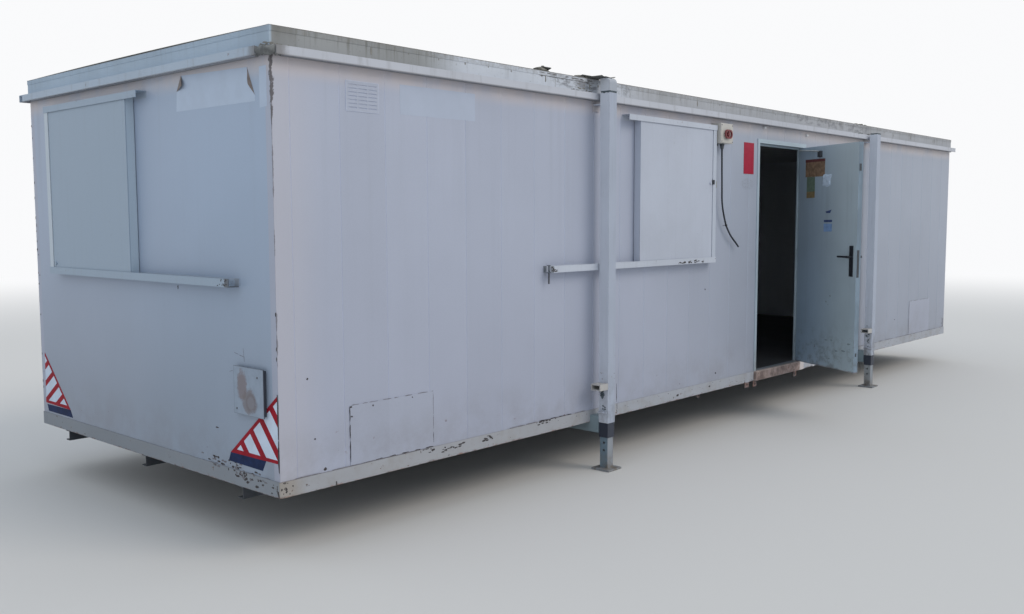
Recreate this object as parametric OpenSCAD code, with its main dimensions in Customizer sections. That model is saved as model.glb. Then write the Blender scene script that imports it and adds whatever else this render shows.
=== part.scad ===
// Portable site cabin on four telescopic jack legs.
// X runs along the cabin with the shuttered end at -X, the door side faces -Y, Z is up from the ground.
// The origin is on the ground in the middle of the whole outline with the door open as it stands.

/* [Cabin] */
// Length over the walls
body_l = 9750; // [8500:50:11000]
// Width over the walls
body_w = 2860; // [2700:10:3200]
// Height of the underside of the base rails above the ground
base_z = 327; // [310:1:420]
// Height of the walls above the base rails
wall_h = 2193; // [2150:1:2400]
// Thickness of the walls
wall_t = 50; // [38:1:60]

/* [Base] */
// Height of the base rails
rail_h = 85; // [75:1:100]
// Width of the base rails
rail_w = 55; // [51:1:70]
// Distance that the base rails stand proud of the walls
rail_proud = 4; // [1:0.5:5]
// Thickness of the base rail steel
rail_t = 5; // [4:0.5:8]
// Height of the lengthwise bearers under the rails
bearer_h = 68; // [50:1:90]
// Flange width of the bearers
bearer_w = 52; // [40:1:70]
// Thickness of the bearer steel
bearer_t = 6; // [4:0.5:9]
// Distance of the outer bearers from the faces of the long walls
bearer_in = 370; // [320:10:500]
// Thickness of the floor deck
floor_t = 25; // [18:1:36]
// Width of a floor joist
joist_w = 50; // [38:1:70]
// Number of floor joists
joist_n = 13; // [11:1:20]

/* [Cladding] */
// Spacing of the upright grooves
groove_pitch = 312.5; // [200:0.5:420]
// Distance of the first groove from the left end
groove_first = 107; // [70:1:150]
// Width of a groove
groove_w = 7; // [4:0.5:10]
// Depth of a groove
groove_d = 3; // [1.5:0.5:5]

/* [Roof] */
// Height of the fascias
fascia_h = 95; // [80:1:150]
// Thickness of the fascias
fascia_t = 18; // [12:1:25]
// Distance that the fascias stand proud of the walls
fascia_proud = 9; // [4:1:11]
// Rise of the roof at its middle line
roof_rise = 8; // [4:1:40]
// Thickness of the felt
felt_t = 5; // [3:0.5:8]
// Height of the felt turned down over the fascias
felt_drop = 24; // [15:1:40]
// Thickness of the felt turned down over the fascias
felt_skirt_t = 2; // [1.5:0.5:4]
// Height of the drip rails
drip_h = 46; // [34:1:50]
// Distance that the drip rails stand out from the walls
drip_out = 52; // [40:1:58]
// Thickness of the drip rail sheet
drip_t = 4; // [3:0.5:6]
// Distance that the front drip rail stops short of the front left corner
drip_short_side = 50; // [20:5:100]
// Distance that the left drip rail stops short of the front left corner
drip_short_end = 100; // [60:5:150]
// Joint between the drip rails at the other corners
drip_joint = 2; // [1:0.5:5]
// Height of the ceiling above the floor
room_h = 2105; // [2050:5:2130]
// Thickness of the ceiling board
ceiling_t = 15; // [9:1:25]

/* [Front window] */
// Distance of the window opening from the left end
front_window_x = 3142; // [3110:1:3160]
// Width of the front window opening
front_window_w = 900; // [800:5:920]
// Height of the window openings
window_h = 920; // [850:5:950]
// Height of the window sills above the floor
window_sill = 1045; // [1040:1:1075]

/* [End window] */
// Distance of the end window opening from the front corner
end_window_y = 1461; // [1430:1:1480]
// Width of the end window opening
end_window_w = 920; // [850:5:940]

/* [Shutters] */
// Width of the front shutter
shutter_front_w = 1000; // [990:5:1040]
// Distance of the front shutter from the left end
shutter_front_x = 3092; // [3080:1:3105]
// Width of the end shutter
shutter_end_w = 1050; // [1040:5:1080]
// Distance of the end shutter from the front corner
shutter_end_y = 1396; // [1380:1:1410]
// Height of the shutters
shutter_h = 1087; // [1060:1:1095]
// Height of the underside of the shutters above the floor
shutter_z = 992; // [980:1:1000]
// Depth of the shutter trays
shutter_d = 54; // [45:1:56]
// Thickness of the shutter sheet
shutter_t = 3; // [2:0.5:5]
// Clearance of a shutter in its guides
shutter_gap = 4; // [2:0.5:6]
// Thickness of the guide channels
guide_t = 4; // [3:0.5:6]
// Height of the lower guides
guide_h = 44; // [36:1:55]
// Height of the upper guides
hood_h = 40; // [30:1:50]
// Length that the front lower guide runs on beside its shutter
guide_run_front = 1018; // [980:1:1050]
// Length that the end lower guide runs on beside its shutter
guide_run_end = 1067; // [1000:1:1100]
// Length that an upper guide runs past its shutter on the parking side
hood_run = 150; // [100:1:200]
// Length that the guides run past their shutters on the closed side
guide_past = 58; // [56:1:62]
// Width of the upright closing strip beside a shutter
jamb_w = 50; // [30:1:52]

/* [Door] */
// Distance of the frame of the doorway from the left end
door_x = 4930; // [4850:5:5000]
// Width of the door leaf
leaf_w = 838; // [760:1:920]
// Height of the door leaf
leaf_h = 1981; // [1900:1:2000]
// Thickness of the door leaf
leaf_t = 44; // [38:1:46]
// Angle that the leaf stands open from shut
door_open = 61; // [20:1:80]
// Clearance round the leaf in its frame
door_gap = 6; // [5:0.5:8]
// Width of the frame faces
frame_w = 36; // [25:1:50]
// Depth that the stop of the frame covers the leaf
stop_w = 16; // [12:1:22]
// Thickness of the stop
stop_t = 10; // [6:1:14]
// Distance that the frame of the doorway stands proud of the wall
frame_proud = 6; // [2:0.5:10]
// Distance between the inner face of the shut leaf and its stop
stop_gap = 5; // [5:0.5:8]
// Diameter of the hinge barrels
hinge_d = 20; // [16:0.5:24]
// Diameter of the hinge pins
hinge_pin_d = 10; // [8:0.5:12]
// Length of one hinge barrel
hinge_l = 58; // [45:1:80]
// Number of hinges
hinge_n = 3; // [2:1:4]
// Distance of the outer hinges from the ends of the leaf
hinge_end = 200; // [120:5:300]
// Running clearance round the pins and the spindle
pin_gap = 0.05; // [0.02:0.01:0.09]
// Distance of the handle from the free edge of the leaf
handle_in = 62; // [50:1:80]
// Height of the handle above the foot of the leaf
handle_z = 1003; // [900:1:1100]
// Length of a lever
lever_l = 125; // [100:1:140]
// Diameter of a lever
lever_d = 17; // [14:0.5:20]
// Distance from the leaf to the outer side of a lever
lever_out = 56; // [48:1:64]
// Diameter of the spindle
spindle_d = 22; // [16:0.5:26]
// Width of the lock plates
plate_w = 45; // [35:1:60]
// Height of the lock plates
plate_h = 265; // [220:1:300]
// Thickness of the lock plates
plate_t = 8; // [4:0.5:12]
// Distance that the doorway sill stands out from the wall
sill_out = 26; // [15:1:40]

/* [Legs] */
// Distance of the left legs from the left end
leg_left_x = 2625; // [2500:5:2800]
// Distance of the right legs from the left end
leg_right_x = 7185; // [7150:5:7400]
// Clearance between the shutter guides and the outer leg tubes
leg_gap = 8; // [5:0.5:16]
// Wall of the outer leg tube
tube_t = 6; // [4:0.5:8]
// Clearance of an inner leg in its outer tube, on each side
ram_play = 1.5; // [1:0.1:2]
// Clearance of an inner leg in the collar that guides it, on each side
collar_play = 0.3; // [0.2:0.05:0.5]
// Side of the inner leg tube
ram_a = 65; // [58:1:70]
// Wall of the inner leg tube
ram_t = 6; // [4:0.5:8]
// Length of the inner leg tube
ram_l = 1750; // [1500:10:1900]
// Height of the lower end of the outer tube above the ground
tube_z = 229; // [180:1:240]
// Height of the dark collar under the outer tube
collar_h = 103; // [80:1:108]
// Thickness of the dark collar round the inner leg
collar_t = 4.5; // [3.5:0.5:7]
// Length of the collar inside the outer tube
collar_in = 12; // [8:1:20]
// Spacing of the pin holes
hole_pitch = 54; // [50:1:70]
// Diameter of the pin holes
hole_d = 18; // [14:1:22]
// Height of the lowest pin hole above the ground
hole_z = 137; // [100:1:145]
// Number of pin holes in an inner leg
hole_n = 20; // [14:1:22]
// Length of the foot plates along the cabin
foot_l = 150; // [120:1:230]
// Width of the foot plates across the cabin
foot_w = 150; // [120:1:180]
// Thickness of the foot plates
foot_t = 12; // [8:1:16]
// Height of the underside of the lifting lugs above the ground
lug_z = 571; // [500:1:700]
// Height of the lifting lugs
lug_h = 44; // [32:1:60]
// Reach of the lifting lugs from the tube
lug_l = 90; // [80:1:150]
// Width of an outrigger
outrigger_w = 96; // [80:1:100]
// Height of the bracket on an outrigger, in front of the base rail
bracket_h = 50; // [42:1:70]
// Width of the strap that holds a tube to the wall
strap_w = 60; // [40:1:75]
// Thickness of the strap that holds a tube to the wall
leg_strap_t = 8; // [5:0.5:12]
// Distance of the strap under the top of its tube
strap_drop = 78; // [60:1:95]
// Height of a leg cap
cap_h = 87; // [60:1:95]

/* [Fittings] */
// Width of the isolator box
isolator_w = 192; // [150:1:220]
// Height of the isolator box
isolator_h = 158; // [140:1:190]
// Depth of the isolator box
isolator_d = 88; // [60:1:110]
// Clearance between the isolator box and the guides of the shutter
isolator_gap = 8; // [4:1:40]
// Distance of the isolator box under the drip rail
isolator_drop = 44; // [20:1:60]
// Height of the isolator's loop handle
isolator_loop = 72; // [50:1:90]
// Width of the vent plate
vent_w = 225; // [200:5:260]
// Height of the vent plate
vent_h = 160; // [140:5:180]
// Distance of the vent plate from the left end
vent_x = 462; // [440:1:520]
// Distance of the vent plate under the top of the wall
vent_drop = 120; // [100:1:200]
// Thickness of the thin cover plates
cover_t = 3; // [2:0.5:5]
// Distance of the left patch panel from the left end
patch_left_x = 453; // [300:1:520]
// Width of the left patch panel
patch_left_w = 617; // [400:1:700]
// Height of the left patch panel
patch_left_h = 330; // [250:1:400]
// Distance of the right patch panel from the right end
patch_right_x = 530; // [300:1:700]
// Width of the right patch panel
patch_right_w = 640; // [400:1:700]
// Height of the right patch panel
patch_right_h = 385; // [250:1:420]
// Distance of the patch panels above the foot of the wall
patch_lift = 4; // [2:1:20]
// Distance of the inlet plate from the front corner
inlet_y = 96; // [60:1:200]
// Height of the inlet plate above the foot of the wall
inlet_z = 318; // [200:1:400]
// Width of the inlet plate
inlet_w = 275; // [240:5:300]
// Height of the inlet plate
inlet_h = 255; // [220:5:280]
// Depth of the inlet plate
inlet_d = 24; // [15:1:40]
// Distance of the lashing eye from the left end
eye_x = 4800; // [4700:1:4850]
// Distance of the lashing hook from the left end
hook_x = 4030; // [3800:1:4200]

/* [Hidden] */

eps = 1;
curve_n = 48;
small_n = 32;

// Fittings on the front base rail
eye_a = 62;
eye_t = 8;
eye_hole = 24;
step_w = 56;
step_h = 58;
step_t = 8;
step_in = 35;
step_gap = 773;

// Levels above the ground
floor_z = base_z + rail_h;
wall_top = floor_z + wall_h;
fascia_top = wall_top + fascia_h;
ceiling_z = floor_z + room_h;
sill_z = floor_z + window_sill;
shutter_base = floor_z + shutter_z;

// Roof deck inside the fascias
deck_half = body_w / 2 + fascia_proud - fascia_t;
roof_steps = 16;

// Torn flaps of felt by distance from the left end, length and angle
flap_d = 75;
felt_flaps = [[2055, 95, 21], [2475, 110, 14]];

// Faces of the cabin before the origin is set
left_x = -body_l / 2;
front_y = -body_w / 2;

// Door: the pin line stands proud of the leaf beside the right jamb
hinge_proud = frame_proud + hinge_d / 2 + 1.5;
hinge_side = door_gap / 2;
hinge_lift = 1;
strap_t = 5;
strap_l = 60;
frame_depth = frame_proud + leaf_t + stop_gap + stop_t;
doorway_w = leaf_w + 2 * door_gap + 2 * frame_w;
doorway_h = leaf_h + 2 * door_gap + frame_w;
leaf_left = left_x + door_x + frame_w + door_gap;
leaf_right = leaf_left + leaf_w;
pin_x = leaf_right + hinge_side;
pin_y = front_y - hinge_proud;
leaf_z = floor_z + door_gap;
leaf_reach = (leaf_w + hinge_side) * sin(door_open) - hinge_proud * cos(door_open);

// Bars of the window frames behind the shutters, with their glass
bar_w = 45;
bar_d = 40;
bar_in = 5;
glass_t = 6;

// Shutters and their guides
knob_d = 24;
knob_h = shutter_gap + guide_t;
knob_in = 30;
bolt_d = 12;
bolt_l = 118;
shutter_top = shutter_base + shutter_h;
guide_out = shutter_d + 2 * shutter_gap + guide_t;
isolator_x = shutter_front_x + shutter_front_w + guide_past + isolator_gap;
isolator_z = wall_top - drip_h - isolator_drop - isolator_h;
guide_z = shutter_base - guide_t;

// Legs: square tubes that end level with the wall, each with a sleeve round its inner leg
tube_bore = ram_a + 2 * ram_play;
tube_a = tube_bore + 2 * tube_t;
collar_bore = ram_a + 2 * collar_play;
collar_a = collar_bore + 2 * collar_t;
leg_out = guide_out + leg_gap + tube_a / 2;
tube_top = wall_top;
collar_top = tube_z + collar_h;
strap_z = tube_top - strap_drop;
flange_h = 40;
lug_t = 8;
cap_slot = 12;
cap_plug = 40;
cap_r = 34;
pin_step = 5;
pin_head_d = 30;
pin_head_h = 14;
pin_bar_d = 12;
pin_bar_l = 74;

// Route of the hanging cable, in mm from the wall and the isolator's lower left corner
cable_d = 14;
cable_route = [
    [100, 44, -44], [100, 44, -77], [102, 44, -130], [104, 44, -211], [107, 44, -292],
    [109, 44, -367], [113, 43, -437], [124, 42, -500], [144, 41, -559], [167, 40, -612],
    [193, 39, -660], [222, 38, -695], [254, 37, -727], [290, 36, -757], [329, 36, -785],
    [368, 36, -812], [405, 36, -840]
];
cable_sides = 10;

// The origin lies midway between the tip of the open leaf and the rear feet, and between the
// guides of the left end and the drip rail of the right end
outline_front = pin_y - leaf_reach;
outline_rear = body_w / 2 + leg_out + foot_w / 2;
shift_x = (max(guide_out, drip_out) - drip_out) / 2;
shift_y = -(outline_front + outline_rear) / 2;

white_paint = [0.80, 0.82, 0.86];
grey_paint = [0.66, 0.68, 0.69];
dark_steel = [0.16, 0.16, 0.17];
raw_steel = [0.45, 0.43, 0.41];

// Moves a piece from the middle of the cabin to the stated origin
module placed() {
    translate([shift_x, shift_y, 0]) children();
}

// Puts children on a long wall: X from the left end, Y out from the face, Z from the ground
module on_front() {
    translate([left_x, front_y, 0]) mirror([0, 1, 0]) children();
}

// Puts children on the left end: X from the front corner, Y out from the face, Z from the ground
module on_left() {
    translate([left_x, front_y, 0]) rotate([0, 0, 90]) children();
}

// Box from one corner with its size
module block(at, size) {
    translate(at) cube(size);
}

// Plan outline of a wall piece with V grooves on its outer face, from start to end along the wall
function grooves_in(start, end) = [
    for (i = [0 : floor(body_l / groove_pitch)])
        let (x = groove_first + i * groove_pitch)
        if (x > start + 2 * groove_w && x < end - 2 * groove_w) x
];
module wall_plan(start, end) {
    grooves = grooves_in(start, end);
    outer = [
        for (x = grooves, p = [[x - groove_w / 2, 0], [x, -groove_d], [x + groove_w / 2, 0]]) p
    ];
    polygon(concat([[start, -wall_t], [start, 0]], outer, [[end, 0], [end, -wall_t]]));
}

// Upright slab of the long walls between two distances from the left end
module long_wall(start, end, low, high) {
    translate([0, 0, low]) linear_extrude(height = high - low) wall_plan(start, end);
}

// Upright slab of the left wall between two distances from the front corner
module left_slab(start, end, low, high) {
    block([start, -wall_t, low], [end - start, wall_t, high - low]);
}

// Channel lying along X with its open side towards +Y
module channel(length, height, width, thick) {
    rotate([90, 0, 90]) linear_extrude(height = length) difference() {
        square([width, height]);
        translate([thick, thick]) square([width, height - 2 * thick]);
    }
}

// Lashing eye: a plate with a hole, welded over the lower edge of the front rail
module lashing_eye() {
    lap = 20;
    sunk = 2;
    translate([eye_x, rail_proud - sunk, base_z + lap]) difference() {
        block([-eye_a / 2, 0, -eye_a], [eye_a, eye_t + sunk, eye_a]);
        translate([0, -eps, -0.6 * eye_a]) rotate([-90, 0, 0])
            cylinder(d = eye_hole, h = eye_t + sunk + 2 * eps, $fn = small_n);
    }
}

// Lashing hook: a bent bar through the lower flange of the front rail
module lashing_hook() {
    bar = 9;
    bend = 34;
    translate([hook_x, rail_proud - rail_w / 4, base_z - bend / 4]) rotate([90, 0, 0])
        rotate_extrude($fn = small_n) translate([bend / 2, 0]) circle(d = bar, $fn = small_n);
}

// Pair of brackets with a hole under the front rail, which hold loose door steps
module step_brackets() {
    for (x = [door_x + step_in, door_x + step_in + step_gap])
        translate([x, rail_proud - rail_w / 4, base_z + rail_t / 2]) difference() {
            block([-step_w / 2, 0, -step_h], [step_w, step_t, step_h]);
            translate([0, -eps, -0.6 * step_h]) rotate([-90, 0, 0])
                cylinder(d = eye_hole, h = step_t + 2 * eps, $fn = small_n);
        }
}

module base_rails_side() {
    color(grey_paint) placed() {
        for (side = [0, 1]) mirror([0, side, 0])
            translate([left_x - rail_proud, front_y - rail_proud, base_z])
                channel(body_l + 2 * rail_proud, rail_h, rail_w, rail_t);
        on_front() {
            lashing_eye();
            lashing_hook();
            step_brackets();
        }
    }
}

module base_rails_end() {
    inner_l = body_w - 2 * (rail_w - rail_proud);
    color(grey_paint) placed() for (side = [0, 1]) mirror([side, 0, 0])
        translate([left_x - rail_proud, inner_l / 2, base_z]) rotate([0, 0, -90])
            channel(inner_l, rail_h, rail_w, rail_t);
}

module bearers() {
    color(dark_steel) placed()
        for (y = [front_y + bearer_in, 0, -front_y - bearer_in])
            translate([left_x, y - bearer_w / 2, base_z - bearer_h])
                channel(body_l, bearer_h, bearer_w, bearer_t);
}

module floor_joists() {
    rail_inner = body_w - 2 * (rail_w - rail_proud);
    run = body_l - 2 * rail_w - joist_w;
    color(raw_steel) placed() for (i = [0 : joist_n - 1])
        translate([-run / 2 - joist_w / 2 + i * run / (joist_n - 1), -rail_inner / 2, base_z])
            cube([joist_w, rail_inner, rail_h - floor_t]);
}

module floor_deck() {
    inner_l = body_l - 2 * (rail_w - rail_proud);
    inner_w = body_w - 2 * (rail_w - rail_proud);
    color([0.32, 0.30, 0.28]) placed()
        block([-inner_l / 2, -inner_w / 2, floor_z - floor_t], [inner_l, inner_w, floor_t]);
}

module front_wall() {
    window_end = front_window_x + front_window_w;
    color(white_paint) placed() on_front() {
        long_wall(0, front_window_x, floor_z, wall_top);
        long_wall(window_end, door_x, floor_z, wall_top);
        long_wall(door_x + doorway_w, body_l, floor_z, wall_top);
    }
}

// Pieces of the front wall under and over the window and over the doorway
module front_wall_spandrels() {
    window_end = front_window_x + front_window_w;
    color(white_paint) placed() on_front() {
        long_wall(front_window_x, window_end, floor_z, sill_z);
        long_wall(front_window_x, window_end, sill_z + window_h, wall_top);
        long_wall(door_x, door_x + doorway_w, floor_z + doorway_h, wall_top);
    }
}

module left_wall() {
    color(white_paint) placed() on_left() {
        left_slab(wall_t, end_window_y, floor_z, wall_top);
        left_slab(end_window_y + end_window_w, body_w - wall_t, floor_z, wall_top);
    }
}

module left_wall_spandrels() {
    window_end = end_window_y + end_window_w;
    color(white_paint) placed() on_left() {
        left_slab(end_window_y, window_end, floor_z, sill_z);
        left_slab(end_window_y, window_end, sill_z + window_h, wall_top);
    }
}

module right_wall() {
    color(white_paint) placed() mirror([1, 0, 0]) on_left()
        left_slab(wall_t, body_w - wall_t, floor_z, wall_top);
}

module rear_wall() {
    color(white_paint) placed() mirror([0, 1, 0]) on_front() long_wall(0, body_l, floor_z, wall_top);
}

module ceiling() {
    inner_l = body_l - 2 * wall_t;
    inner_w = body_w - 2 * wall_t;
    color([0.75, 0.74, 0.70]) placed()
        block([-inner_l / 2, -inner_w / 2, ceiling_z], [inner_l, inner_w, ceiling_t]);
}

// Height of the cambered roof over its edges, as an arc through its edges and middle
function arc_rise(y, half, rise) =
    let (r = (half * half + rise * rise) / (2 * rise)) sqrt(r * r - y * y) - (r - rise);

// Top line of the deck from the front edge to the rear edge, raised by lift
function deck_line(lift) = [
    for (i = [0 : roof_steps])
        let (y = deck_half * (2 * i / roof_steps - 1))
        [y, fascia_top + lift + arc_rise(y, deck_half, roof_rise)]
];
function reversed(list) = [for (i = [len(list) - 1 : -1 : 0]) list[i]];

module roof_deck() {
    length = body_l + 2 * (fascia_proud - fascia_t);
    color([0.40, 0.40, 0.40]) placed() translate([-length / 2, 0, 0]) rotate([90, 0, 90])
        linear_extrude(height = length)
            polygon(concat([[-deck_half, wall_top]], deck_line(0), [[deck_half, wall_top]]));
}

// Flap of torn felt that has lifted at the front edge of the roof
module felt_flap(x, length, angle) {
    edge = body_w / 2 + fascia_proud;
    translate([left_x + x, flap_d - edge, fascia_top + felt_t / 2]) rotate([-angle, 0, 0])
        block([0, -flap_d, 0], [length, flap_d, felt_t]);
}

// Felt sheet over the deck and the fascias, turned down over the outside of the fascias
module roof_felt() {
    edge = body_w / 2 + fascia_proud;
    outer = edge + felt_skirt_t;
    low = fascia_top - felt_drop;
    high = fascia_top + felt_t;
    end_x = body_l / 2 + fascia_proud;
    color([0.20, 0.20, 0.21]) placed() {
        translate([-end_x, 0, 0]) rotate([90, 0, 90]) linear_extrude(height = 2 * end_x)
            polygon(concat([[-outer, low], [-edge, low], [-edge, fascia_top]], deck_line(0),
                [[edge, fascia_top], [edge, low], [outer, low], [outer, high]],
                reversed(deck_line(felt_t)), [[-outer, high]]));
        for (side = [0, 1]) mirror([side, 0, 0])
            block([end_x, -outer, low], [felt_skirt_t, 2 * outer, high - low]);
        for (flap = felt_flaps) felt_flap(flap[0], flap[1], flap[2]);
    }
}

module fascias_side() {
    color(grey_paint) placed() for (side = [0, 1]) mirror([0, side, 0])
        block([left_x - fascia_proud, front_y - fascia_proud, wall_top],
            [body_l + 2 * fascia_proud, fascia_t, fascia_h]);
}

module fascias_end() {
    inner = body_w + 2 * fascia_proud - 2 * fascia_t;
    color(grey_paint) placed() for (side = [0, 1]) mirror([side, 0, 0])
        block([left_x - fascia_proud, -inner / 2, wall_top], [fascia_t, inner, fascia_h]);
}

// Drip rail section: a wall flange, a shelf that stands out and a turned-down lip
module drip_section() {
    translate([0, -drip_h]) square([drip_t, drip_h]);
    translate([0, -drip_t]) square([drip_out, drip_t]);
    translate([drip_out - drip_t, -drip_h]) square([drip_t, drip_h]);
}

module drip_rail(start, end) {
    translate([start, 0, wall_top]) rotate([90, 0, 90]) linear_extrude(height = end - start) drip_section();
}

// The side rails run round the corners, apart from the front left one, where both rails end
module drip_rails() {
    color(grey_paint) placed() {
        on_front() drip_rail(drip_short_side, body_l + drip_out);
        mirror([0, 1, 0]) on_front() drip_rail(-drip_out, body_l + drip_out);
        on_left() drip_rail(drip_short_end, body_w - drip_joint);
        mirror([1, 0, 0]) on_left() drip_rail(drip_joint, body_w - drip_joint);
    }
}

// Window frame in the XZ plane with a middle bar, standing in a wall opening
module window_frame(width, height) {
    difference() {
        block([0, -bar_d - bar_in, 0], [width, bar_d, height]);
        for (side = [0, 1])
            block([bar_w + side * (width - bar_w) / 2, -bar_d - bar_in - eps, bar_w],
                [(width - 3 * bar_w) / 2, bar_d + 2 * eps, height - 2 * bar_w]);
    }
}

module window_frames() {
    color("white") placed() {
        on_front() translate([front_window_x, 0, sill_z]) window_frame(front_window_w, window_h);
        on_left() translate([end_window_y, 0, sill_z]) window_frame(end_window_w, window_h);
    }
}

module window_panes(width, height) {
    for (side = [0, 1])
        block([bar_w + side * (width - bar_w) / 2, -bar_in - (bar_d + glass_t) / 2, bar_w],
            [(width - 3 * bar_w) / 2, glass_t, height - 2 * bar_w]);
}

module window_glass() {
    color([0.5, 0.6, 0.6, 0.4]) placed() {
        on_front() translate([front_window_x, 0, sill_z]) window_panes(front_window_w, window_h);
        on_left() translate([end_window_y, 0, sill_z]) window_panes(end_window_w, window_h);
    }
}

// Folded sheet tray with returns all round, open towards the wall
module shutter(width) {
    difference() {
        block([0, shutter_gap, shutter_base], [width, shutter_d, shutter_h]);
        block([shutter_t, shutter_gap - eps, shutter_base + shutter_t],
            [width - 2 * shutter_t, shutter_d - shutter_t + eps, shutter_h - 2 * shutter_t]);
    }
}

// Latch knob on the face of a shutter
module shutter_knob(along, up) {
    translate([along, shutter_gap + shutter_d, shutter_base + up]) rotate([-90, 0, 0])
        cylinder(d = knob_d, h = knob_h, $fn = small_n);
}

module shutters() {
    color(white_paint) placed() {
        on_front() translate([shutter_front_x, 0, 0]) {
            shutter(shutter_front_w);
            shutter_knob(shutter_front_w - knob_in, shutter_h * 0.58);
        }
        on_left() translate([shutter_end_y, 0, 0]) {
            shutter(shutter_end_w);
            shutter_knob(shutter_end_w - knob_in, shutter_h * 0.06);
        }
    }
}

// Channel that holds the lower edge of a shutter
module lower_guide(length) {
    translate([0, 0, guide_z]) rotate([90, 0, 90]) linear_extrude(height = length) difference() {
        square([guide_out, guide_h]);
        translate([guide_t / 2, guide_t]) square([guide_out - 1.5 * guide_t, guide_h]);
    }
}

// Channel that holds the upper edge of a shutter
module upper_guide(length) {
    translate([0, 0, shutter_top + guide_t]) mirror([0, 0, 1]) rotate([90, 0, 90])
        linear_extrude(height = length) difference() {
            square([guide_out, hood_h]);
            translate([guide_t / 2, guide_t]) square([guide_out - 1.5 * guide_t, hood_h]);
        }
}

// Bolt that hangs through the free end of a lower guide and stops its shutter
module drop_bolt() {
    translate([1.5 * bolt_d, guide_out / 2, guide_z + guide_h - bolt_l]) {
        cylinder(d = bolt_d, h = bolt_l, $fn = small_n);
        translate([0, 0, bolt_l]) cylinder(d = 2 * bolt_d, h = bolt_d / 2, $fn = small_n);
    }
}

module shutter_guides() {
    color(white_paint) placed() {
        on_front() {
            translate([shutter_front_x - guide_run_front, 0, 0]) {
                lower_guide(guide_run_front + shutter_front_w + guide_past);
                drop_bolt();
            }
            translate([shutter_front_x - hood_run, 0, 0])
                upper_guide(hood_run + shutter_front_w + guide_past);
        }
        on_left() {
            translate([shutter_end_y - guide_run_end, 0, 0])
                lower_guide(guide_run_end + shutter_end_w + guide_past);
            translate([shutter_end_y - hood_run, 0, 0])
                upper_guide(hood_run + shutter_end_w + guide_past);
        }
    }
}

// Upright strip that a shutter closes against, between its two guides
module closing_strip() {
    low = guide_z + guide_h;
    high = shutter_top + guide_t - hood_h;
    block([shutter_gap, 0, low], [jamb_w, guide_out - guide_t, high - low]);
}

module shutter_jambs() {
    color(white_paint) placed() {
        on_front() translate([shutter_front_x + shutter_front_w, 0, 0]) closing_strip();
        on_left() translate([shutter_end_y + shutter_end_w, 0, 0]) closing_strip();
    }
}

// Thin plate with three columns of seven slots
module vent_plate() {
    columns = 3;
    rows = 7;
    slot_w = 55;
    slot_h = 6;
    margin = 10;
    step_x = (vent_w - 2 * margin) / columns;
    step_z = (vent_h - 2 * margin) / rows;
    low = wall_top - vent_drop - vent_h;
    color(white_paint) placed() on_front() translate([vent_x, 0, low]) difference() {
        cube([vent_w, cover_t, vent_h]);
        for (i = [0 : columns - 1], k = [0 : rows - 1])
            block([margin + (i + 0.5) * step_x - slot_w / 2, -eps, margin + (k + 0.5) * step_z - slot_h / 2],
                [slot_w, cover_t + 2 * eps, slot_h]);
    }
}

module patch_panels() {
    color(white_paint) placed() on_front() {
        block([patch_left_x, 0, floor_z + patch_lift], [patch_left_w, cover_t, patch_left_h]);
        block([body_l - patch_right_x - patch_right_w, 0, floor_z + patch_lift],
            [patch_right_w, cover_t, patch_right_h]);
    }
}

// Cover plate that stands off the wall on a smaller box
module inlet_plate() {
    plate = 5;
    inset = 8;
    color([0.45, 0.44, 0.42]) placed() on_left() translate([inlet_y, 0, floor_z + inlet_z]) {
        block([inset, 0, inset], [inlet_w - 2 * inset, inlet_d, inlet_h - 2 * inset]);
        block([0, inlet_d - plate, 0], [inlet_w, plate, inlet_h]);
    }
}

module isolator_box() {
    color([0.72, 0.72, 0.70]) placed() on_front()
        block([isolator_x, 0, isolator_z], [isolator_w, isolator_d, isolator_h]);
}

// Flat disc drawn out along X to a longer shape with round ends
module long_disc(d, reach, h) {
    for (x = [-reach / 2, reach / 2]) translate([x, 0, 0]) cylinder(d = d, h = h, $fn = curve_n);
    block([-reach / 2, -d / 2, 0], [reach, d, h]);
}

// Loop handle with a bar across it, on a short hub
module isolator_handle() {
    hub_d = 30;
    reach = 36;
    bar = 13;
    deep = 12;
    stand_off = 12;
    inner = isolator_loop - 2 * bar;
    color([0.55, 0.10, 0.12]) placed() on_front()
        translate([isolator_x + isolator_w / 2, isolator_d, isolator_z + isolator_h * 0.46])
            rotate([-90, 0, 0]) {
                cylinder(d = hub_d, h = stand_off + deep, $fn = curve_n);
                translate([0, 0, stand_off]) difference() {
                    long_disc(isolator_loop, reach, deep);
                    translate([0, 0, -eps]) long_disc(inner, reach, deep + 2 * eps);
                }
                block([-bar / 2, -inner / 2 - eps, stand_off], [bar, inner + 2 * eps, deep]);
            }
}

// Tapered gland of the cable with its nut against the box
module cable_gland() {
    at = cable_route[0];
    nut_h = 12;
    nut_d = 38;
    color(dark_steel) placed() on_front()
        translate([isolator_x + at[0], at[1], isolator_z + at[2]]) {
            cylinder(d1 = cable_d + 10, d2 = nut_d - 4, h = -at[2] - nut_h, $fn = curve_n);
            translate([0, 0, -at[2] - nut_h]) cylinder(d = nut_d, h = nut_h, $fn = curve_n);
        }
}

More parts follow.
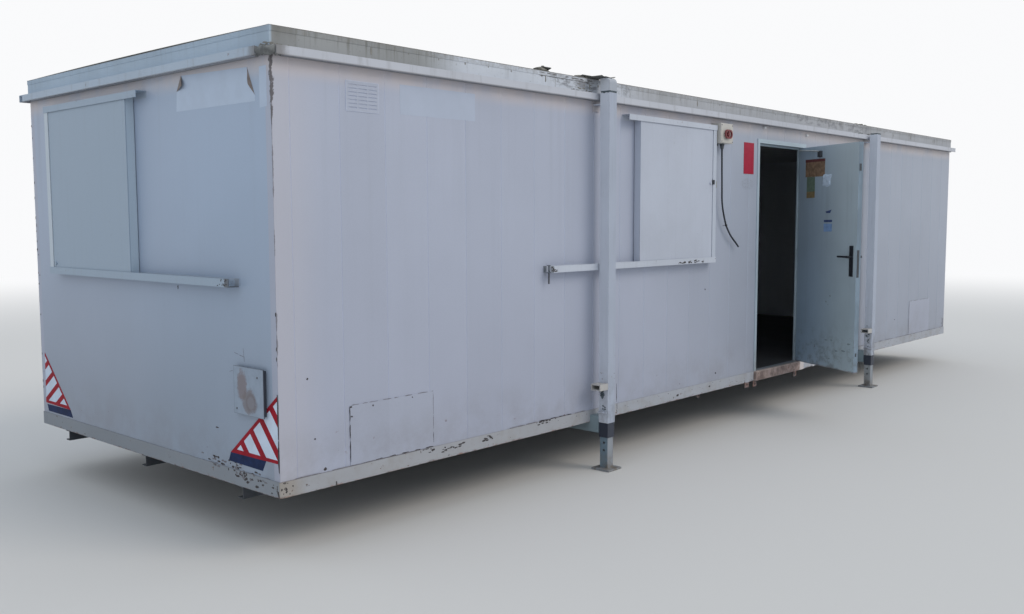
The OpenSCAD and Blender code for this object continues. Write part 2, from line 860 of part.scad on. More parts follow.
// Tube swept along a list of points with rings square to the route
function unit(v) = v / norm(v);
function heading(path, i) =
    unit(path[min(i + 1, len(path) - 1)] - path[max(i - 1, 0)]);
module swept_tube(path, d, sides) {
    rings = [
        for (i = [0 : len(path) - 1])
            let (t = heading(path, i), u = unit(cross(t, [0, 1, 0])), v = cross(t, u))
            for (k = [0 : sides - 1])
                path[i] + d / 2 * (cos(360 * k / sides) * u + sin(360 * k / sides) * v)
    ];
    last = len(path) - 1;
    walls = [
        for (i = [0 : last - 1], k = [0 : sides - 1])
            let (n = (k + 1) % sides)
            [i * sides + k, (i + 1) * sides + k, (i + 1) * sides + n, i * sides + n]
    ];
    start_cap = [for (k = [0 : sides - 1]) k];
    end_cap = [for (k = [sides - 1 : -1 : 0]) last * sides + k];
    polyhedron(points = rings, faces = concat(walls, [start_cap, end_cap]));
}

module cable() {
    color([0.08, 0.08, 0.09]) placed() on_front() translate([isolator_x, 0, isolator_z])
        swept_tube(cable_route, cable_d, cable_sides);
}

// Heights of the hinges above the foot of the leaf, at the middle of each hinge
function hinge_level(i) = hinge_end + i * (leaf_h - 2 * hinge_end) / (hinge_n - 1);

// Uprights of the doorway's frame with a stop behind the leaf
module door_jambs() {
    head_z = doorway_h - frame_w;
    color(white_paint) placed() on_front()
        translate([door_x, frame_proud - frame_depth, floor_z]) {
            block([0, 0, 0], [frame_w, frame_depth, head_z]);
            block([frame_w, 0, 0], [stop_w, stop_t, head_z]);
            block([doorway_w - frame_w, 0, 0], [frame_w, frame_depth, head_z]);
            block([doorway_w - frame_w - stop_w, 0, 0], [stop_w, stop_t, head_z]);
        }
}

module door_head() {
    head_z = doorway_h - frame_w;
    color(white_paint) placed() on_front()
        translate([door_x, frame_proud - frame_depth, floor_z]) {
            block([0, 0, head_z], [doorway_w, frame_depth, frame_w]);
            block([frame_w + stop_w, 0, head_z - stop_w],
                [doorway_w - 2 * (frame_w + stop_w), stop_t, stop_w]);
        }
}

// Lower half of each hinge: a barrel with its pin and a block against the frame
module frame_hinge_halves() {
    color(white_paint) placed()
        for (i = [0 : hinge_n - 1]) translate([pin_x, pin_y, leaf_z + hinge_level(i)]) {
            translate([0, 0, -hinge_l]) cylinder(d = hinge_d, h = hinge_l, $fn = curve_n);
            cylinder(d = hinge_pin_d, h = hinge_l - 8, $fn = curve_n);
            block([0, 0, -hinge_l], [door_gap / 2 + 14, hinge_proud - frame_proud, hinge_l]);
        }
}

// Sill that covers the base rail under the doorway
module door_sill() {
    lift = 3;
    color([0.30, 0.27, 0.25]) placed() on_front()
        block([door_x, rail_proud, base_z + lift], [doorway_w, sill_out, rail_h - lift]);
}

// Turns a piece of the shut door about the pin line to its open rest place
module hung() {
    translate([pin_x, pin_y, 0]) rotate([0, 0, door_open]) translate([-pin_x, -pin_y, 0]) children();
}

handle_x = leaf_left + handle_in;
lever_z = leaf_z + handle_z;
spindle_hole_d = spindle_d + 2 * pin_gap;

// Hole for the spindle, right through the leaf and its plates
module spindle_hole() {
    translate([handle_x, front_y - plate_t - eps, lever_z]) rotate([-90, 0, 0])
        cylinder(d = spindle_hole_d, h = leaf_t + 2 * plate_t + 2 * eps, $fn = curve_n);
}

module door_leaf() {
    color([0.55, 0.60, 0.60]) placed() hung() difference() {
        block([leaf_left, front_y, leaf_z], [leaf_w, leaf_t, leaf_h]);
        spindle_hole();
    }
}

// Upper half of each hinge: a barrel with a blind hole and a strap on the outer face of the leaf
module leaf_hinge_halves() {
    color(white_paint) placed() hung()
        for (i = [0 : hinge_n - 1]) translate([pin_x, pin_y, leaf_z + hinge_level(i) + hinge_lift])
            difference() {
                union() {
                    cylinder(d = hinge_d, h = hinge_l, $fn = curve_n);
                    block([-hinge_side - 10, 0, 0], [10, hinge_proud, hinge_l]);
                    block([-hinge_side - strap_l, hinge_proud - strap_t, 0], [strap_l, strap_t, hinge_l]);
                }
                translate([0, 0, -eps])
                    cylinder(d = hinge_pin_d + 2 * pin_gap, h = hinge_l - 6 + eps, $fn = curve_n);
            }
}

module lock_plates() {
    color([0.35, 0.35, 0.36]) placed() hung() difference() {
        for (y = [front_y - plate_t, front_y + leaf_t])
            block([handle_x - plate_w / 2, y, lever_z - plate_h * 0.64], [plate_w, plate_t, plate_h]);
        spindle_hole();
    }
}

// Spindle through the leaf with a lever on each side, both pointing at the hinges
module door_handle() {
    reach = leaf_t + 2 * lever_out;
    color([0.30, 0.30, 0.31]) placed() hung() translate([handle_x, front_y - lever_out, lever_z]) {
        rotate([-90, 0, 0]) cylinder(d = spindle_d, h = reach, $fn = curve_n);
        for (y = [lever_d / 2, reach - lever_d / 2]) translate([0, y, 0]) {
            rotate([0, 90, 0]) cylinder(d = lever_d, h = lever_l, $fn = curve_n);
            translate([lever_l, 0, 0]) sphere(d = lever_d, $fn = curve_n);
        }
    }
}

// Open-ended box on the left face of a leg tube
module lifting_lug() {
    translate([-tube_a / 2, leg_out - tube_a / 2, lug_z]) difference() {
        block([-lug_l, 0, 0], [lug_l, tube_a, lug_h]);
        block([-lug_l - eps, lug_t, lug_t], [lug_l + 2 * eps, tube_a - 2 * lug_t, lug_h - 2 * lug_t]);
    }
}

// Locking pin on the left face of a tube: a head with a cross bar
module pin_head() {
    rotate([0, -90, 0]) cylinder(d = pin_head_d, h = pin_head_h, $fn = curve_n);
    translate([-pin_head_h, -pin_bar_l / 2, 0]) rotate([-90, 0, 0])
        cylinder(d = pin_bar_d, h = pin_bar_l, $fn = small_n);
}

// Outer tube of a leg with its sleeve, its pin and the strap that holds it to the wall
module leg_tube() {
    half = tube_a / 2;
    translate([0, leg_out, 0]) difference() {
        union() {
            block([-half, -half, collar_top], [tube_a, tube_a, tube_top - collar_top]);
            block([-collar_a / 2, -collar_a / 2, tube_z], [collar_a, collar_a, collar_h + eps]);
            translate([-half, 0, hole_z + pin_step * hole_pitch]) pin_head();
        }
        block([-collar_bore / 2, -collar_bore / 2, tube_z - eps],
            [collar_bore, collar_bore, collar_h + collar_in + 2 * eps]);
        block([-tube_bore / 2, -tube_bore / 2, collar_top + collar_in], [tube_bore, tube_bore, tube_top]);
    }
    block([-strap_w / 2, 0, strap_z], [strap_w, leg_out - half, leg_strap_t]);
    block([-strap_w / 2, 0, strap_z - flange_h], [strap_w, leg_strap_t, flange_h]);
}

// Cap that plugs a tube, with its outer edge rounded off
module leg_cap() {
    half = tube_a / 2;
    translate([-half, leg_out, 0]) {
        block([tube_t, -tube_bore / 2, tube_top - cap_plug], [tube_bore, tube_bore, cap_plug + cap_slot]);
        translate([0, -half, tube_top + cap_slot]) rotate([90, 0, 90]) linear_extrude(height = tube_a) {
            square([tube_a, cap_h - cap_r]);
            square([tube_a - cap_r, cap_h]);
            translate([tube_a - cap_r, cap_h - cap_r]) circle(r = cap_r, $fn = curve_n);
        }
    }
}

// Beam from an outer bearer out under the base rail, with a bracket on it that holds the tube of a leg
module outrigger() {
    start = bearer_w / 2 - bearer_in;
    end = leg_out - tube_a / 2;
    block([-outrigger_w / 2, start, base_z - bearer_h], [outrigger_w, end - start, bearer_h]);
    block([-outrigger_w / 2, rail_proud, base_z], [outrigger_w, end - rail_proud, bracket_h]);
}

// Inner leg with its foot plate, sliding in the outer tube
module leg_ram() {
    half = ram_a / 2;
    translate([0, leg_out, 0]) {
        block([-foot_l / 2, -foot_w / 2, 0], [foot_l, foot_w, foot_t]);
        difference() {
            block([-half, -half, foot_t], [ram_a, ram_a, ram_l]);
            block([-half + ram_t, -half + ram_t, foot_t + eps],
                [ram_a - 2 * ram_t, ram_a - 2 * ram_t, ram_l]);
            for (i = [0 : hole_n - 1])
                translate([-half - eps, 0, hole_z + i * hole_pitch]) rotate([0, 90, 0])
                    cylinder(d = hole_d, h = ram_a + 2 * eps, $fn = small_n);
        }
    }
}

// Stands a leg piece at the front or rear, at the left or right
module leg_place(right, rear) {
    placed() mirror([0, rear ? 1 : 0, 0]) on_front()
        translate([right ? leg_right_x : leg_left_x, 0, 0]) children();
}

module at_all_legs() {
    for (right = [false, true], rear = [false, true]) leg_place(right, rear) children();
}

module leg_tubes() {
    color(white_paint) at_all_legs() leg_tube();
}

// The front right tube has lost its cap
module leg_caps() {
    color(grey_paint) {
        leg_place(false, false) leg_cap();
        leg_place(false, true) leg_cap();
        leg_place(true, true) leg_cap();
    }
}

module lifting_lugs() {
    color(grey_paint) at_all_legs() lifting_lug();
}

module outriggers() {
    color(grey_paint) at_all_legs() outrigger();
}

module leg_ram_front_left() {
    color(grey_paint) leg_place(false, false) leg_ram();
}

module leg_ram_front_right() {
    color(grey_paint) leg_place(true, false) leg_ram();
}

module leg_ram_rear_left() {
    color(grey_paint) leg_place(false, true) leg_ram();
}

module leg_ram_rear_right() {
    color(grey_paint) leg_place(true, true) leg_ram();
}

base_rails_side();
base_rails_end();
bearers();
floor_joists();
floor_deck();
front_wall();
front_wall_spandrels();
left_wall();
left_wall_spandrels();
right_wall();
rear_wall();
ceiling();
roof_deck();
roof_felt();
fascias_side();
fascias_end();
drip_rails();
window_frames();
window_glass();
shutters();
shutter_guides();
shutter_jambs();
vent_plate();
patch_panels();
inlet_plate();
isolator_box();
isolator_handle();
cable_gland();
cable();
door_jambs();
door_head();
frame_hinge_halves();
door_sill();
door_leaf();
leaf_hinge_halves();
lock_plates();
door_handle();
leg_tubes();
leg_caps();
lifting_lugs();
outriggers();
leg_ram_front_left();
leg_ram_front_right();
leg_ram_rear_left();
leg_ram_rear_right();
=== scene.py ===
"""Looks of a weathered portable site cabin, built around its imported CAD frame."""

import math
import random

import bmesh
import bpy
from mathutils import Matrix, Vector, noise


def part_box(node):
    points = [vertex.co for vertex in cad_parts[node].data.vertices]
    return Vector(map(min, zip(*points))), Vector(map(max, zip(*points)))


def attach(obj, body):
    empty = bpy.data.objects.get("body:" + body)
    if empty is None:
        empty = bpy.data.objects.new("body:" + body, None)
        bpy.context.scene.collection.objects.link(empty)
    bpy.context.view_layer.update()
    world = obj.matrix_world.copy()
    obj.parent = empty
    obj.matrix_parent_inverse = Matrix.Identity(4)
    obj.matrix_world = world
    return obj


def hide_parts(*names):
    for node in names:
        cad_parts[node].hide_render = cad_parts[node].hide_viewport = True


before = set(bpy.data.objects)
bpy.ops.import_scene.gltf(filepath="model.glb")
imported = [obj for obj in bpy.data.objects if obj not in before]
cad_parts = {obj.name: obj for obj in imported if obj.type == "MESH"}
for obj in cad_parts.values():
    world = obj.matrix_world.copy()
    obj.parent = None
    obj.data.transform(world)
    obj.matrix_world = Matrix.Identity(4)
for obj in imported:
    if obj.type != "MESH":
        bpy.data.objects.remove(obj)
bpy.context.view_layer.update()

# Faces of the cabin, read from the frame
WALL_LOW, WALL_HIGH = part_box("front_wall")
LEFT, RIGHT = WALL_LOW.x, WALL_HIGH.x
FRONT = WALL_LOW.y
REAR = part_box("rear_wall")[1].y
FLOOR, WALL_TOP = WALL_LOW.z, WALL_HIGH.z
FASCIA_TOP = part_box("fascias_side")[1].z
BASE_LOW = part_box("base_rails_end")[0].z
LENGTH = RIGHT - LEFT
WIDTH = REAR - FRONT

# Hinge line of the door and the plane of the leaf's inner face
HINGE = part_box("frame_hinge_halves")[0] + Vector((0.010, 0.010, 0))
LEAF_INNER = 0.0615
DOOR_OPEN = math.radians(61)
LEAF_WIDTH = max(
    (HINGE.x - v.co.x) * math.cos(DOOR_OPEN) + (HINGE.y - v.co.y) * math.sin(DOOR_OPEN)
    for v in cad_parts["door_leaf"].data.vertices
)


# Places on the faces: along the face, out from it and above the ground
def at_front(along, out, up):
    return Vector((LEFT + along, FRONT - out, up))


def at_rear(along, out, up):
    return Vector((LEFT + along, REAR + out, up))


def at_end(along, out, up):
    return Vector((LEFT - out, FRONT + along, up))


def at_far_end(along, out, up):
    return Vector((RIGHT + out, FRONT + along, up))


def at_leaf(along, out, up):
    """Point on the inner face of the open leaf, by its distance from the hinge line."""
    depth = LEAF_INNER + out
    return Vector((
        HINGE.x - along * math.cos(DOOR_OPEN) - depth * math.sin(DOOR_OPEN),
        HINGE.y - along * math.sin(DOOR_OPEN) + depth * math.cos(DOOR_OPEN),
        up,
    ))


def at_leaf_edge(inward, out, up):
    """Point on the edge of the open leaf, by its distance from the inner face."""
    depth = LEAF_INNER - inward
    along = LEAF_WIDTH + out
    return Vector((
        HINGE.x - along * math.cos(DOOR_OPEN) - depth * math.sin(DOOR_OPEN),
        HINGE.y - along * math.sin(DOOR_OPEN) + depth * math.cos(DOOR_OPEN),
        up,
    ))


# Camera
CAMERA_FROM_CORNER = Vector((-2.842, -4.181, 0))
CAMERA_HEIGHT = 1.746
CAMERA_YAW = math.radians(47.78)
CAMERA_PITCH = math.radians(-5.07)
CAMERA_ROLL = math.radians(-0.16)
FOCAL_PIXELS = 980.8
IMAGE_WIDTH = 1024
SENSOR = 36.0


def make_camera():
    data = bpy.data.cameras.new("camera")
    data.sensor_width = SENSOR
    data.lens = FOCAL_PIXELS / IMAGE_WIDTH * SENSOR
    data.clip_end = 200
    camera = bpy.data.objects.new("camera", data)
    bpy.context.scene.collection.objects.link(camera)
    turn = (
        Matrix.Rotation(-CAMERA_YAW, 4, "Z")
        @ Matrix.Rotation(math.pi / 2 + CAMERA_PITCH, 4, "X")
        @ Matrix.Rotation(CAMERA_ROLL, 4, "Z")
    )
    spot = Vector((LEFT, FRONT, CAMERA_HEIGHT)) + CAMERA_FROM_CORNER
    camera.matrix_world = Matrix.Translation(spot) @ turn
    bpy.context.scene.camera = camera


make_camera()


# Mesh helpers
def new_object(name, bm, material, body="cabin", smooth=False, slot=None):
    """Turns a bmesh into a piece with its material, riding on a body."""
    mesh = bpy.data.meshes.new(name)
    bmesh.ops.recalc_face_normals(bm, faces=bm.faces)
    bm.to_mesh(mesh)
    bm.free()
    if smooth:
        for face in mesh.polygons:
            face.use_smooth = True
    piece = bpy.data.objects.new(name, mesh)
    bpy.context.scene.collection.objects.link(piece)
    mesh.materials.append(MATERIALS[material])
    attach(piece, body)
    return piece


def add_plate(bm, place, outline, inner, outer):
    """Flat plate with an outline of (along, up) points between two distances from its face."""
    back = [bm.verts.new(place(a, inner, u)) for a, u in outline]
    front = [bm.verts.new(place(a, outer, u)) for a, u in outline]
    bm.faces.new(back)
    bm.faces.new(list(reversed(front)))
    count = len(outline)
    for i in range(count):
        j = (i + 1) % count
        bm.faces.new((back[i], back[j], front[j], front[i]))


def add_bevel_plate(bm, place, low, high, inner, outer, bevel):
    """Rectangular plate whose outer edges and corners are bevelled."""
    rows = []
    for inset, out in ((0, inner), (0, outer - bevel), (bevel * 0.3, outer - bevel * 0.3), (bevel, outer)):
        a0, u0, a1, u1 = low[0] + inset, low[1] + inset, high[0] - inset, high[1] - inset
        cut = bevel * 0.8
        ring = [(a0 + cut, u0), (a1 - cut, u0), (a1, u0 + cut), (a1, u1 - cut),
                (a1 - cut, u1), (a0 + cut, u1), (a0, u1 - cut), (a0, u0 + cut)]
        rows.append([bm.verts.new(place(a, out, u)) for a, u in ring])
    add_skin(bm, rows)


def add_skin(bm, rows):
    """Closes rings of equal length into one solid skin."""
    for low, high in zip(rows, rows[1:]):
        count = len(low)
        for k in range(count):
            bm.faces.new((low[k], low[(k + 1) % count], high[(k + 1) % count], high[k]))
    bm.faces.new(list(reversed(rows[0])))
    bm.faces.new(rows[-1])


def add_dome(bm, centre, out, radius, height, sides=10):
    """Low domed head of a rivet or screw, standing along the vector out."""
    turn = Vector(out).normalized().to_track_quat("Z", "Y").to_matrix().to_4x4()
    rows = []
    for share in (0, 0.35, 0.7, 0.93):
        size = radius * math.cos(math.pi / 2 * share)
        rows.append([
            bm.verts.new((size * math.cos(2 * math.pi * k / sides), size * math.sin(2 * math.pi * k / sides),
                          height * math.sin(math.pi / 2 * share)))
            for k in range(sides)
        ])
    add_skin(bm, rows)
    made = [v for row in rows for v in row]
    bmesh.ops.transform(bm, matrix=Matrix.Translation(Vector(centre)) @ turn, verts=made)


def add_tube(bm, path, radius, sides=16):
    """Closed tube along a path, with rings carried from point to point."""
    rings = []
    side = None
    for i, point in enumerate(path):
        ahead = (path[min(i + 1, len(path) - 1)] - path[max(i - 1, 0)]).normalized()
        if side is None:
            side = ahead.orthogonal().normalized()
        side = (side - ahead * side.dot(ahead)).normalized()
        up = ahead.cross(side)
        turns = [2 * math.pi * k / sides for k in range(sides)]
        rings.append([bm.verts.new(point + radius * (math.cos(t) * side + math.sin(t) * up)) for t in turns])
    add_skin(bm, rings)


def smooth_path(points, steps):
    """Catmull-Rom curve through the points."""
    points = [Vector(p) for p in points]
    padded = [2 * points[0] - points[1], *points, 2 * points[-1] - points[-2]]
    path = []
    for a, b, c, d in zip(padded, padded[1:], padded[2:], padded[3:]):
        for step in range(steps):
            t = step / steps
            path.append(0.5 * (
                2 * b + (c - a) * t + (2 * a - 5 * b + 4 * c - d) * t * t
                + (3 * b - a - 3 * c + d) * t ** 3
            ))
    path.append(points[-1])
    return path


def add_ragged(bm, place, start, end, out, thick, top, low_at, step=0.012):
    """Strip along a face with a straight top and a lower edge that follows a function."""
    count = max(2, round(abs(end - start) / step))
    rows = []
    for i in range(count + 1):
        along = start + (end - start) * i / count
        low = low_at(along)
        corners = ((out, top), (out + thick, top), (out + thick, low), (out, low))
        rows.append([bm.verts.new(place(along, o, u)) for o, u in corners])
    add_skin(bm, rows)


def add_chip(bm, place, along, up, width, height, out, rng):
    """Thin irregular fleck, such as a chip in the paint."""
    count = rng.randint(6, 9)
    outline = []
    for k in range(count):
        turn = 2 * math.pi * (k + rng.uniform(-0.25, 0.25)) / count
        reach = rng.uniform(0.55, 1.0) / 2
        outline.append((along + width * reach * math.cos(turn), up + height * reach * math.sin(turn)))
    add_plate(bm, place, outline, out - 0.0002, out + rng.uniform(0.0004, 0.0010))


def add_dashes(bm, place, start, end, out, width, length, gap, rng):
    """Broken line of thin irregular dashes between two (along, up) points."""
    start, end = Vector(start), Vector(end)
    ahead = (end - start).normalized()
    across = Vector((-ahead.y, ahead.x))
    total = (end - start).length
    place_now = rng.uniform(0, gap)
    while place_now < total:
        reach = min(length * rng.uniform(0.4, 1.6), total - place_now)
        upper = []
        lower = []
        for k in range(5):
            along = start + ahead * (place_now + reach * k / 4)
            size = width * rng.uniform(0.25, 0.6) * (0.5 if k in (0, 4) else 1.0)
            drift = width * rng.uniform(-0.2, 0.2)
            upper.append(along + across * (drift + size))
            lower.append(along + across * (drift - size))
        outline = [tuple(p) for p in upper + list(reversed(lower))]
        add_plate(bm, place, outline, out - 0.0002, out + 0.0004)
        place_now += reach + gap * rng.uniform(0.3, 1.8)


def add_lump(bm, centre, size, seed, detail=2):
    """Rough clump of moss or dirt, squashed to its size."""
    made = bmesh.ops.create_icosphere(bm, subdivisions=detail, radius=1)["verts"]
    for v in made:
        rough = 1 + 0.75 * noise.noise(v.co * 1.7 + Vector((seed * 7.3, 0, 0)))
        v.co = Vector((v.co.x * size[0], v.co.y * size[1], v.co.z * size[2])) * rough + Vector(centre)


def build(name, material, *parts, **others):
    """Makes a piece from parts, each a mesh helper with what follows its mesh."""
    bm = bmesh.new()
    for add, *values in parts:
        add(bm, *values)
    new_object(name, bm, material, **others)


class Marks:
    """Flecks and broken lines at random, in one mesh for each material."""

    def __init__(self, seed, *materials):
        self.rng = random.Random(seed)
        self.meshes = {material: bmesh.new() for material in materials}

    def chip(self, material, place, along, up, width, height, out=0.0):
        add_chip(self.meshes[material], place, along, up, width, height, out, self.rng)

    def scatter(self, material, place, number, along, up, widths, heights, out=0.0):
        """Flecks whose places two functions draw."""
        for _ in range(number):
            size = along(), up(), self.rng.uniform(*widths), self.rng.uniform(*heights)
            self.chip(material, place, *size, out)

    def line(self, material, place, start, end, out, width, length, gap):
        add_dashes(self.meshes[material], place, start, end, out, width, length, gap, self.rng)

    def finish(self, material, name, **others):
        new_object(name, self.meshes[material], material, **others)


def clip(outline, point, inward):
    """Part of a convex outline on the inner side of the line through a point."""
    kept = []
    for i, a in enumerate(outline):
        b = outline[(i + 1) % len(outline)]
        da = (a[0] - point[0]) * inward[0] + (a[1] - point[1]) * inward[1]
        db = (b[0] - point[0]) * inward[0] + (b[1] - point[1]) * inward[1]
        if da >= 0:
            kept.append(a)
        if da * db < 0:
            share = da / (da - db)
            kept.append((a[0] + share * (b[0] - a[0]), a[1] + share * (b[1] - a[1])))
    return kept


# Material helpers
MATERIALS = {}


def srgb(code):
    """Linear colour of a screen colour that is written in hex."""
    levels = (int(code[i:i + 2], 16) / 255 for i in (0, 2, 4))
    return tuple(c / 12.92 if c <= 0.04045 else ((c + 0.055) / 1.055) ** 2.4 for c in levels)


class Recipe:
    """One node material; most methods add nodes and return the socket that they give."""

    def __init__(self, name):
        self.material = bpy.data.materials.new(name)
        MATERIALS[name] = self.material
        self.material.use_nodes = True
        self.tree = self.material.node_tree
        self.tree.nodes.clear()
        self.output = self.add("ShaderNodeOutputMaterial")
        self.shader = self.add("ShaderNodeBsdfPrincipled")
        self.tree.links.new(self.shader.outputs["BSDF"], self.output.inputs["Surface"])
        coordinates = self.add("ShaderNodeTexCoord")
        self.place = coordinates.outputs["Object"]
        self.facing = coordinates.outputs["Normal"]
        self.x, self.y, self.z = self.split(self.place)
        self.color = None
        self.bumps = None

    def add(self, kind):
        return self.tree.nodes.new(kind)

    def split(self, vector):
        node = self.add("ShaderNodeSeparateXYZ")
        self.tree.links.new(vector, node.inputs[0])
        return node.outputs

    def feed(self, socket, value):
        """Links a socket, or sets it to a number, a list of numbers or a screen colour."""
        if isinstance(value, bpy.types.NodeSocket):
            self.tree.links.new(value, socket)
            return
        if isinstance(value, str):
            value = srgb(value)
        if isinstance(value, (tuple, list)):
            value = tuple(value) + (1,) * (len(socket.default_value) - len(value))
        socket.default_value = value

    def math(self, operation, *values):
        node = self.add("ShaderNodeMath")
        node.operation = operation
        for socket, value in zip(node.inputs, values):
            self.feed(socket, value)
        return node.outputs[0]

    def fold(self, operation, values):
        result = values[0]
        for value in values[1:]:
            result = self.math(operation, result, value)
        return result

    def times(self, *values):
        return self.fold("MULTIPLY", values)

    def most(self, *values):
        return self.fold("MAXIMUM", values)

    def least(self, *values):
        return self.fold("MINIMUM", values)

    def minus(self, value, start):
        return self.math("SUBTRACT", value, start)

    def away(self, value, centre):
        return self.math("ABSOLUTE", self.minus(value, centre))

    def step(self, value, low, high, give=(0, 1)):
        """Smooth step of a value from low to high."""
        node = self.add("ShaderNodeMapRange")
        node.interpolation_type = "SMOOTHSTEP"
        self.feed(node.inputs["Value"], value)
        node.inputs["From Min"].default_value = low
        node.inputs["From Max"].default_value = high
        node.inputs["To Min"].default_value = give[0]
        node.inputs["To Max"].default_value = give[1]
        return node.outputs[0]

    def along(self, low, high, give=(0, 1)):
        """Smooth step between two distances from the left end."""
        return self.step(self.x, LEFT + low, LEFT + high, give)

    def on_front(self):
        return self.step(self.y, FRONT + 0.003, FRONT + 0.001)

    def on_end(self):
        return self.along(-0.0005, -0.003)

    def sideways(self):
        """1 on surfaces that face along the cabin."""
        return self.step(self.math("ABSOLUTE", self.split(self.facing)[0]), 0.6, 0.9)

    def band(self, value, low, high, soft):
        """1 between low and high, fading to 0 over soft on both sides."""
        return self.times(self.step(value, low - soft, low), self.step(value, high, high + soft, (1, 0)))

    def noise(self, scale, detail=4.0, rough=0.55, stretch=(1, 1, 1), shift=(0, 0, 0)):
        mapping = self.add("ShaderNodeMapping")
        mapping.inputs["Scale"].default_value = stretch
        mapping.inputs["Location"].default_value = shift
        self.tree.links.new(self.place, mapping.inputs["Vector"])
        node = self.add("ShaderNodeTexNoise")
        node.inputs["Scale"].default_value = scale
        node.inputs["Detail"].default_value = detail
        node.inputs["Roughness"].default_value = rough
        self.tree.links.new(mapping.outputs[0], node.inputs["Vector"])
        return node.outputs["Fac"]

    def patches(self, scale, low, high, give=(0, 1), **others):
        """Noise that steps between two levels."""
        return self.step(self.noise(scale, **others), low, high, give)

    def ragged(self, value, depth, *noise):
        """A value that noise shifts by up to a depth, for uneven edges."""
        return self.math("MULTIPLY_ADD", self.noise(*noise), depth, value)

    def mix(self, share, first, second, blend="MIX"):
        """Colour mix; the sockets are numbered because Blender names several alike."""
        node = self.add("ShaderNodeMix")
        node.data_type = "RGBA"
        node.blend_type = blend
        for number, value in ((0, share), (6, first), (7, second)):
            self.feed(node.inputs[number], value)
        return node.outputs[2]

    def scaled(self, color, factor):
        """Colour times a number."""
        return self.mix(1.0, color, factor, "MULTIPLY")

    def lay(self, mask, shade):
        """Lays a shade over the material's colour where the mask says."""
        self.color = self.mix(mask, self.color, shade)

    def tone(self, *levels, **others):
        """Varies the material's colour in patches."""
        self.color = self.scaled(self.color, self.patches(*levels, **others))

    def rust(self, mask, rough):
        """Lays rust of two tones where the mask says, and gives the roughness with it."""
        self.lay(mask, self.mix(self.patches(24, 0.35, 0.65, shift=(3, 1, 7)), RUST_DARK, RUST_LIGHT))
        return self.math("MULTIPLY_ADD", mask, 0.92 - rough, rough)

    def blot(self, u, v, centre, size, ragged, share=0.8):
        """1 inside an ellipse with a ragged edge."""
        du = self.math("DIVIDE", self.minus(u, centre[0]), size[0])
        dv = self.math("DIVIDE", self.minus(v, centre[1]), size[1])
        far = self.math("ADD", self.times(du, du), self.times(dv, dv))
        return self.step(self.math("MULTIPLY_ADD", ragged, share, far), 1.25 + share / 2, 0.55 + share / 2)

    def bump(self, height, depth):
        node = self.add("ShaderNodeBump")
        node.inputs["Strength"].default_value = 1.0
        node.inputs["Distance"].default_value = depth
        self.feed(node.inputs["Height"], height)
        if self.bumps is not None:
            self.tree.links.new(self.bumps, node.inputs["Normal"])
        self.bumps = node.outputs[0]

    def grain(self, depth, *noise):
        self.bump(self.noise(*noise), depth)

    def finish(self, roughness, metallic=0.0, **others):
        self.feed(self.shader.inputs["Base Color"], self.color)
        self.feed(self.shader.inputs["Roughness"], roughness)
        self.feed(self.shader.inputs["Metallic"], metallic)
        for name, value in others.items():
            self.shader.inputs[name.replace("_", " ")].default_value = value
        if self.bumps is not None:
            self.tree.links.new(self.bumps, self.shader.inputs["Normal"])


DIRT = "706a64"
RUST_LIGHT = "7c503a"
RUST_DARK = "3c2e2a"
PANEL_FIRST = 0.107
PANEL_PITCH = 0.3125
WALL_THICK = 0.046
GUIDE_LOW = 1.400
# Bluer, darker paint for steel on the end: painted sky-lit shade.
SHUTTER_END_SHADE = "97a7b8"


def room_mask(m):
    """1 on surfaces that face the room, seen by their place inside the walls."""
    lengthwise = m.band(m.x, LEFT + WALL_THICK, RIGHT - WALL_THICK, 0.001)
    across = m.band(m.y, FRONT + WALL_THICK, REAR - WALL_THICK, 0.001)
    return m.times(lengthwise, across)


def corner_seam(m):
    """Dark dirt in the upright seams at the corners, widest at the top of the near one."""
    from_left = m.away(m.x, LEFT)
    from_front = m.away(m.y, FRONT)
    near = m.most(from_left, from_front)
    any_corner = m.most(m.least(from_left, m.away(m.x, RIGHT)), m.least(from_front, m.away(m.y, REAR)))
    ragged = m.patches(34, 0.30, 0.72, (0.15, 1.6), detail=5, rough=0.7, stretch=(1, 1, 0.5))
    wide = m.times(m.step(m.z, 2.15, 2.42, (0.0, 0.014)), ragged)
    upper = m.step(m.minus(near, wide), 0.002, -0.003)
    narrow = m.times(m.patches(5, 0.45, 0.60, (0.0, 0.0045), shift=(0, 0, 4)), ragged)
    all_down = m.step(m.minus(any_corner, narrow), 0.001, -0.001)
    return m.most(upper, m.times(all_down, 0.7))


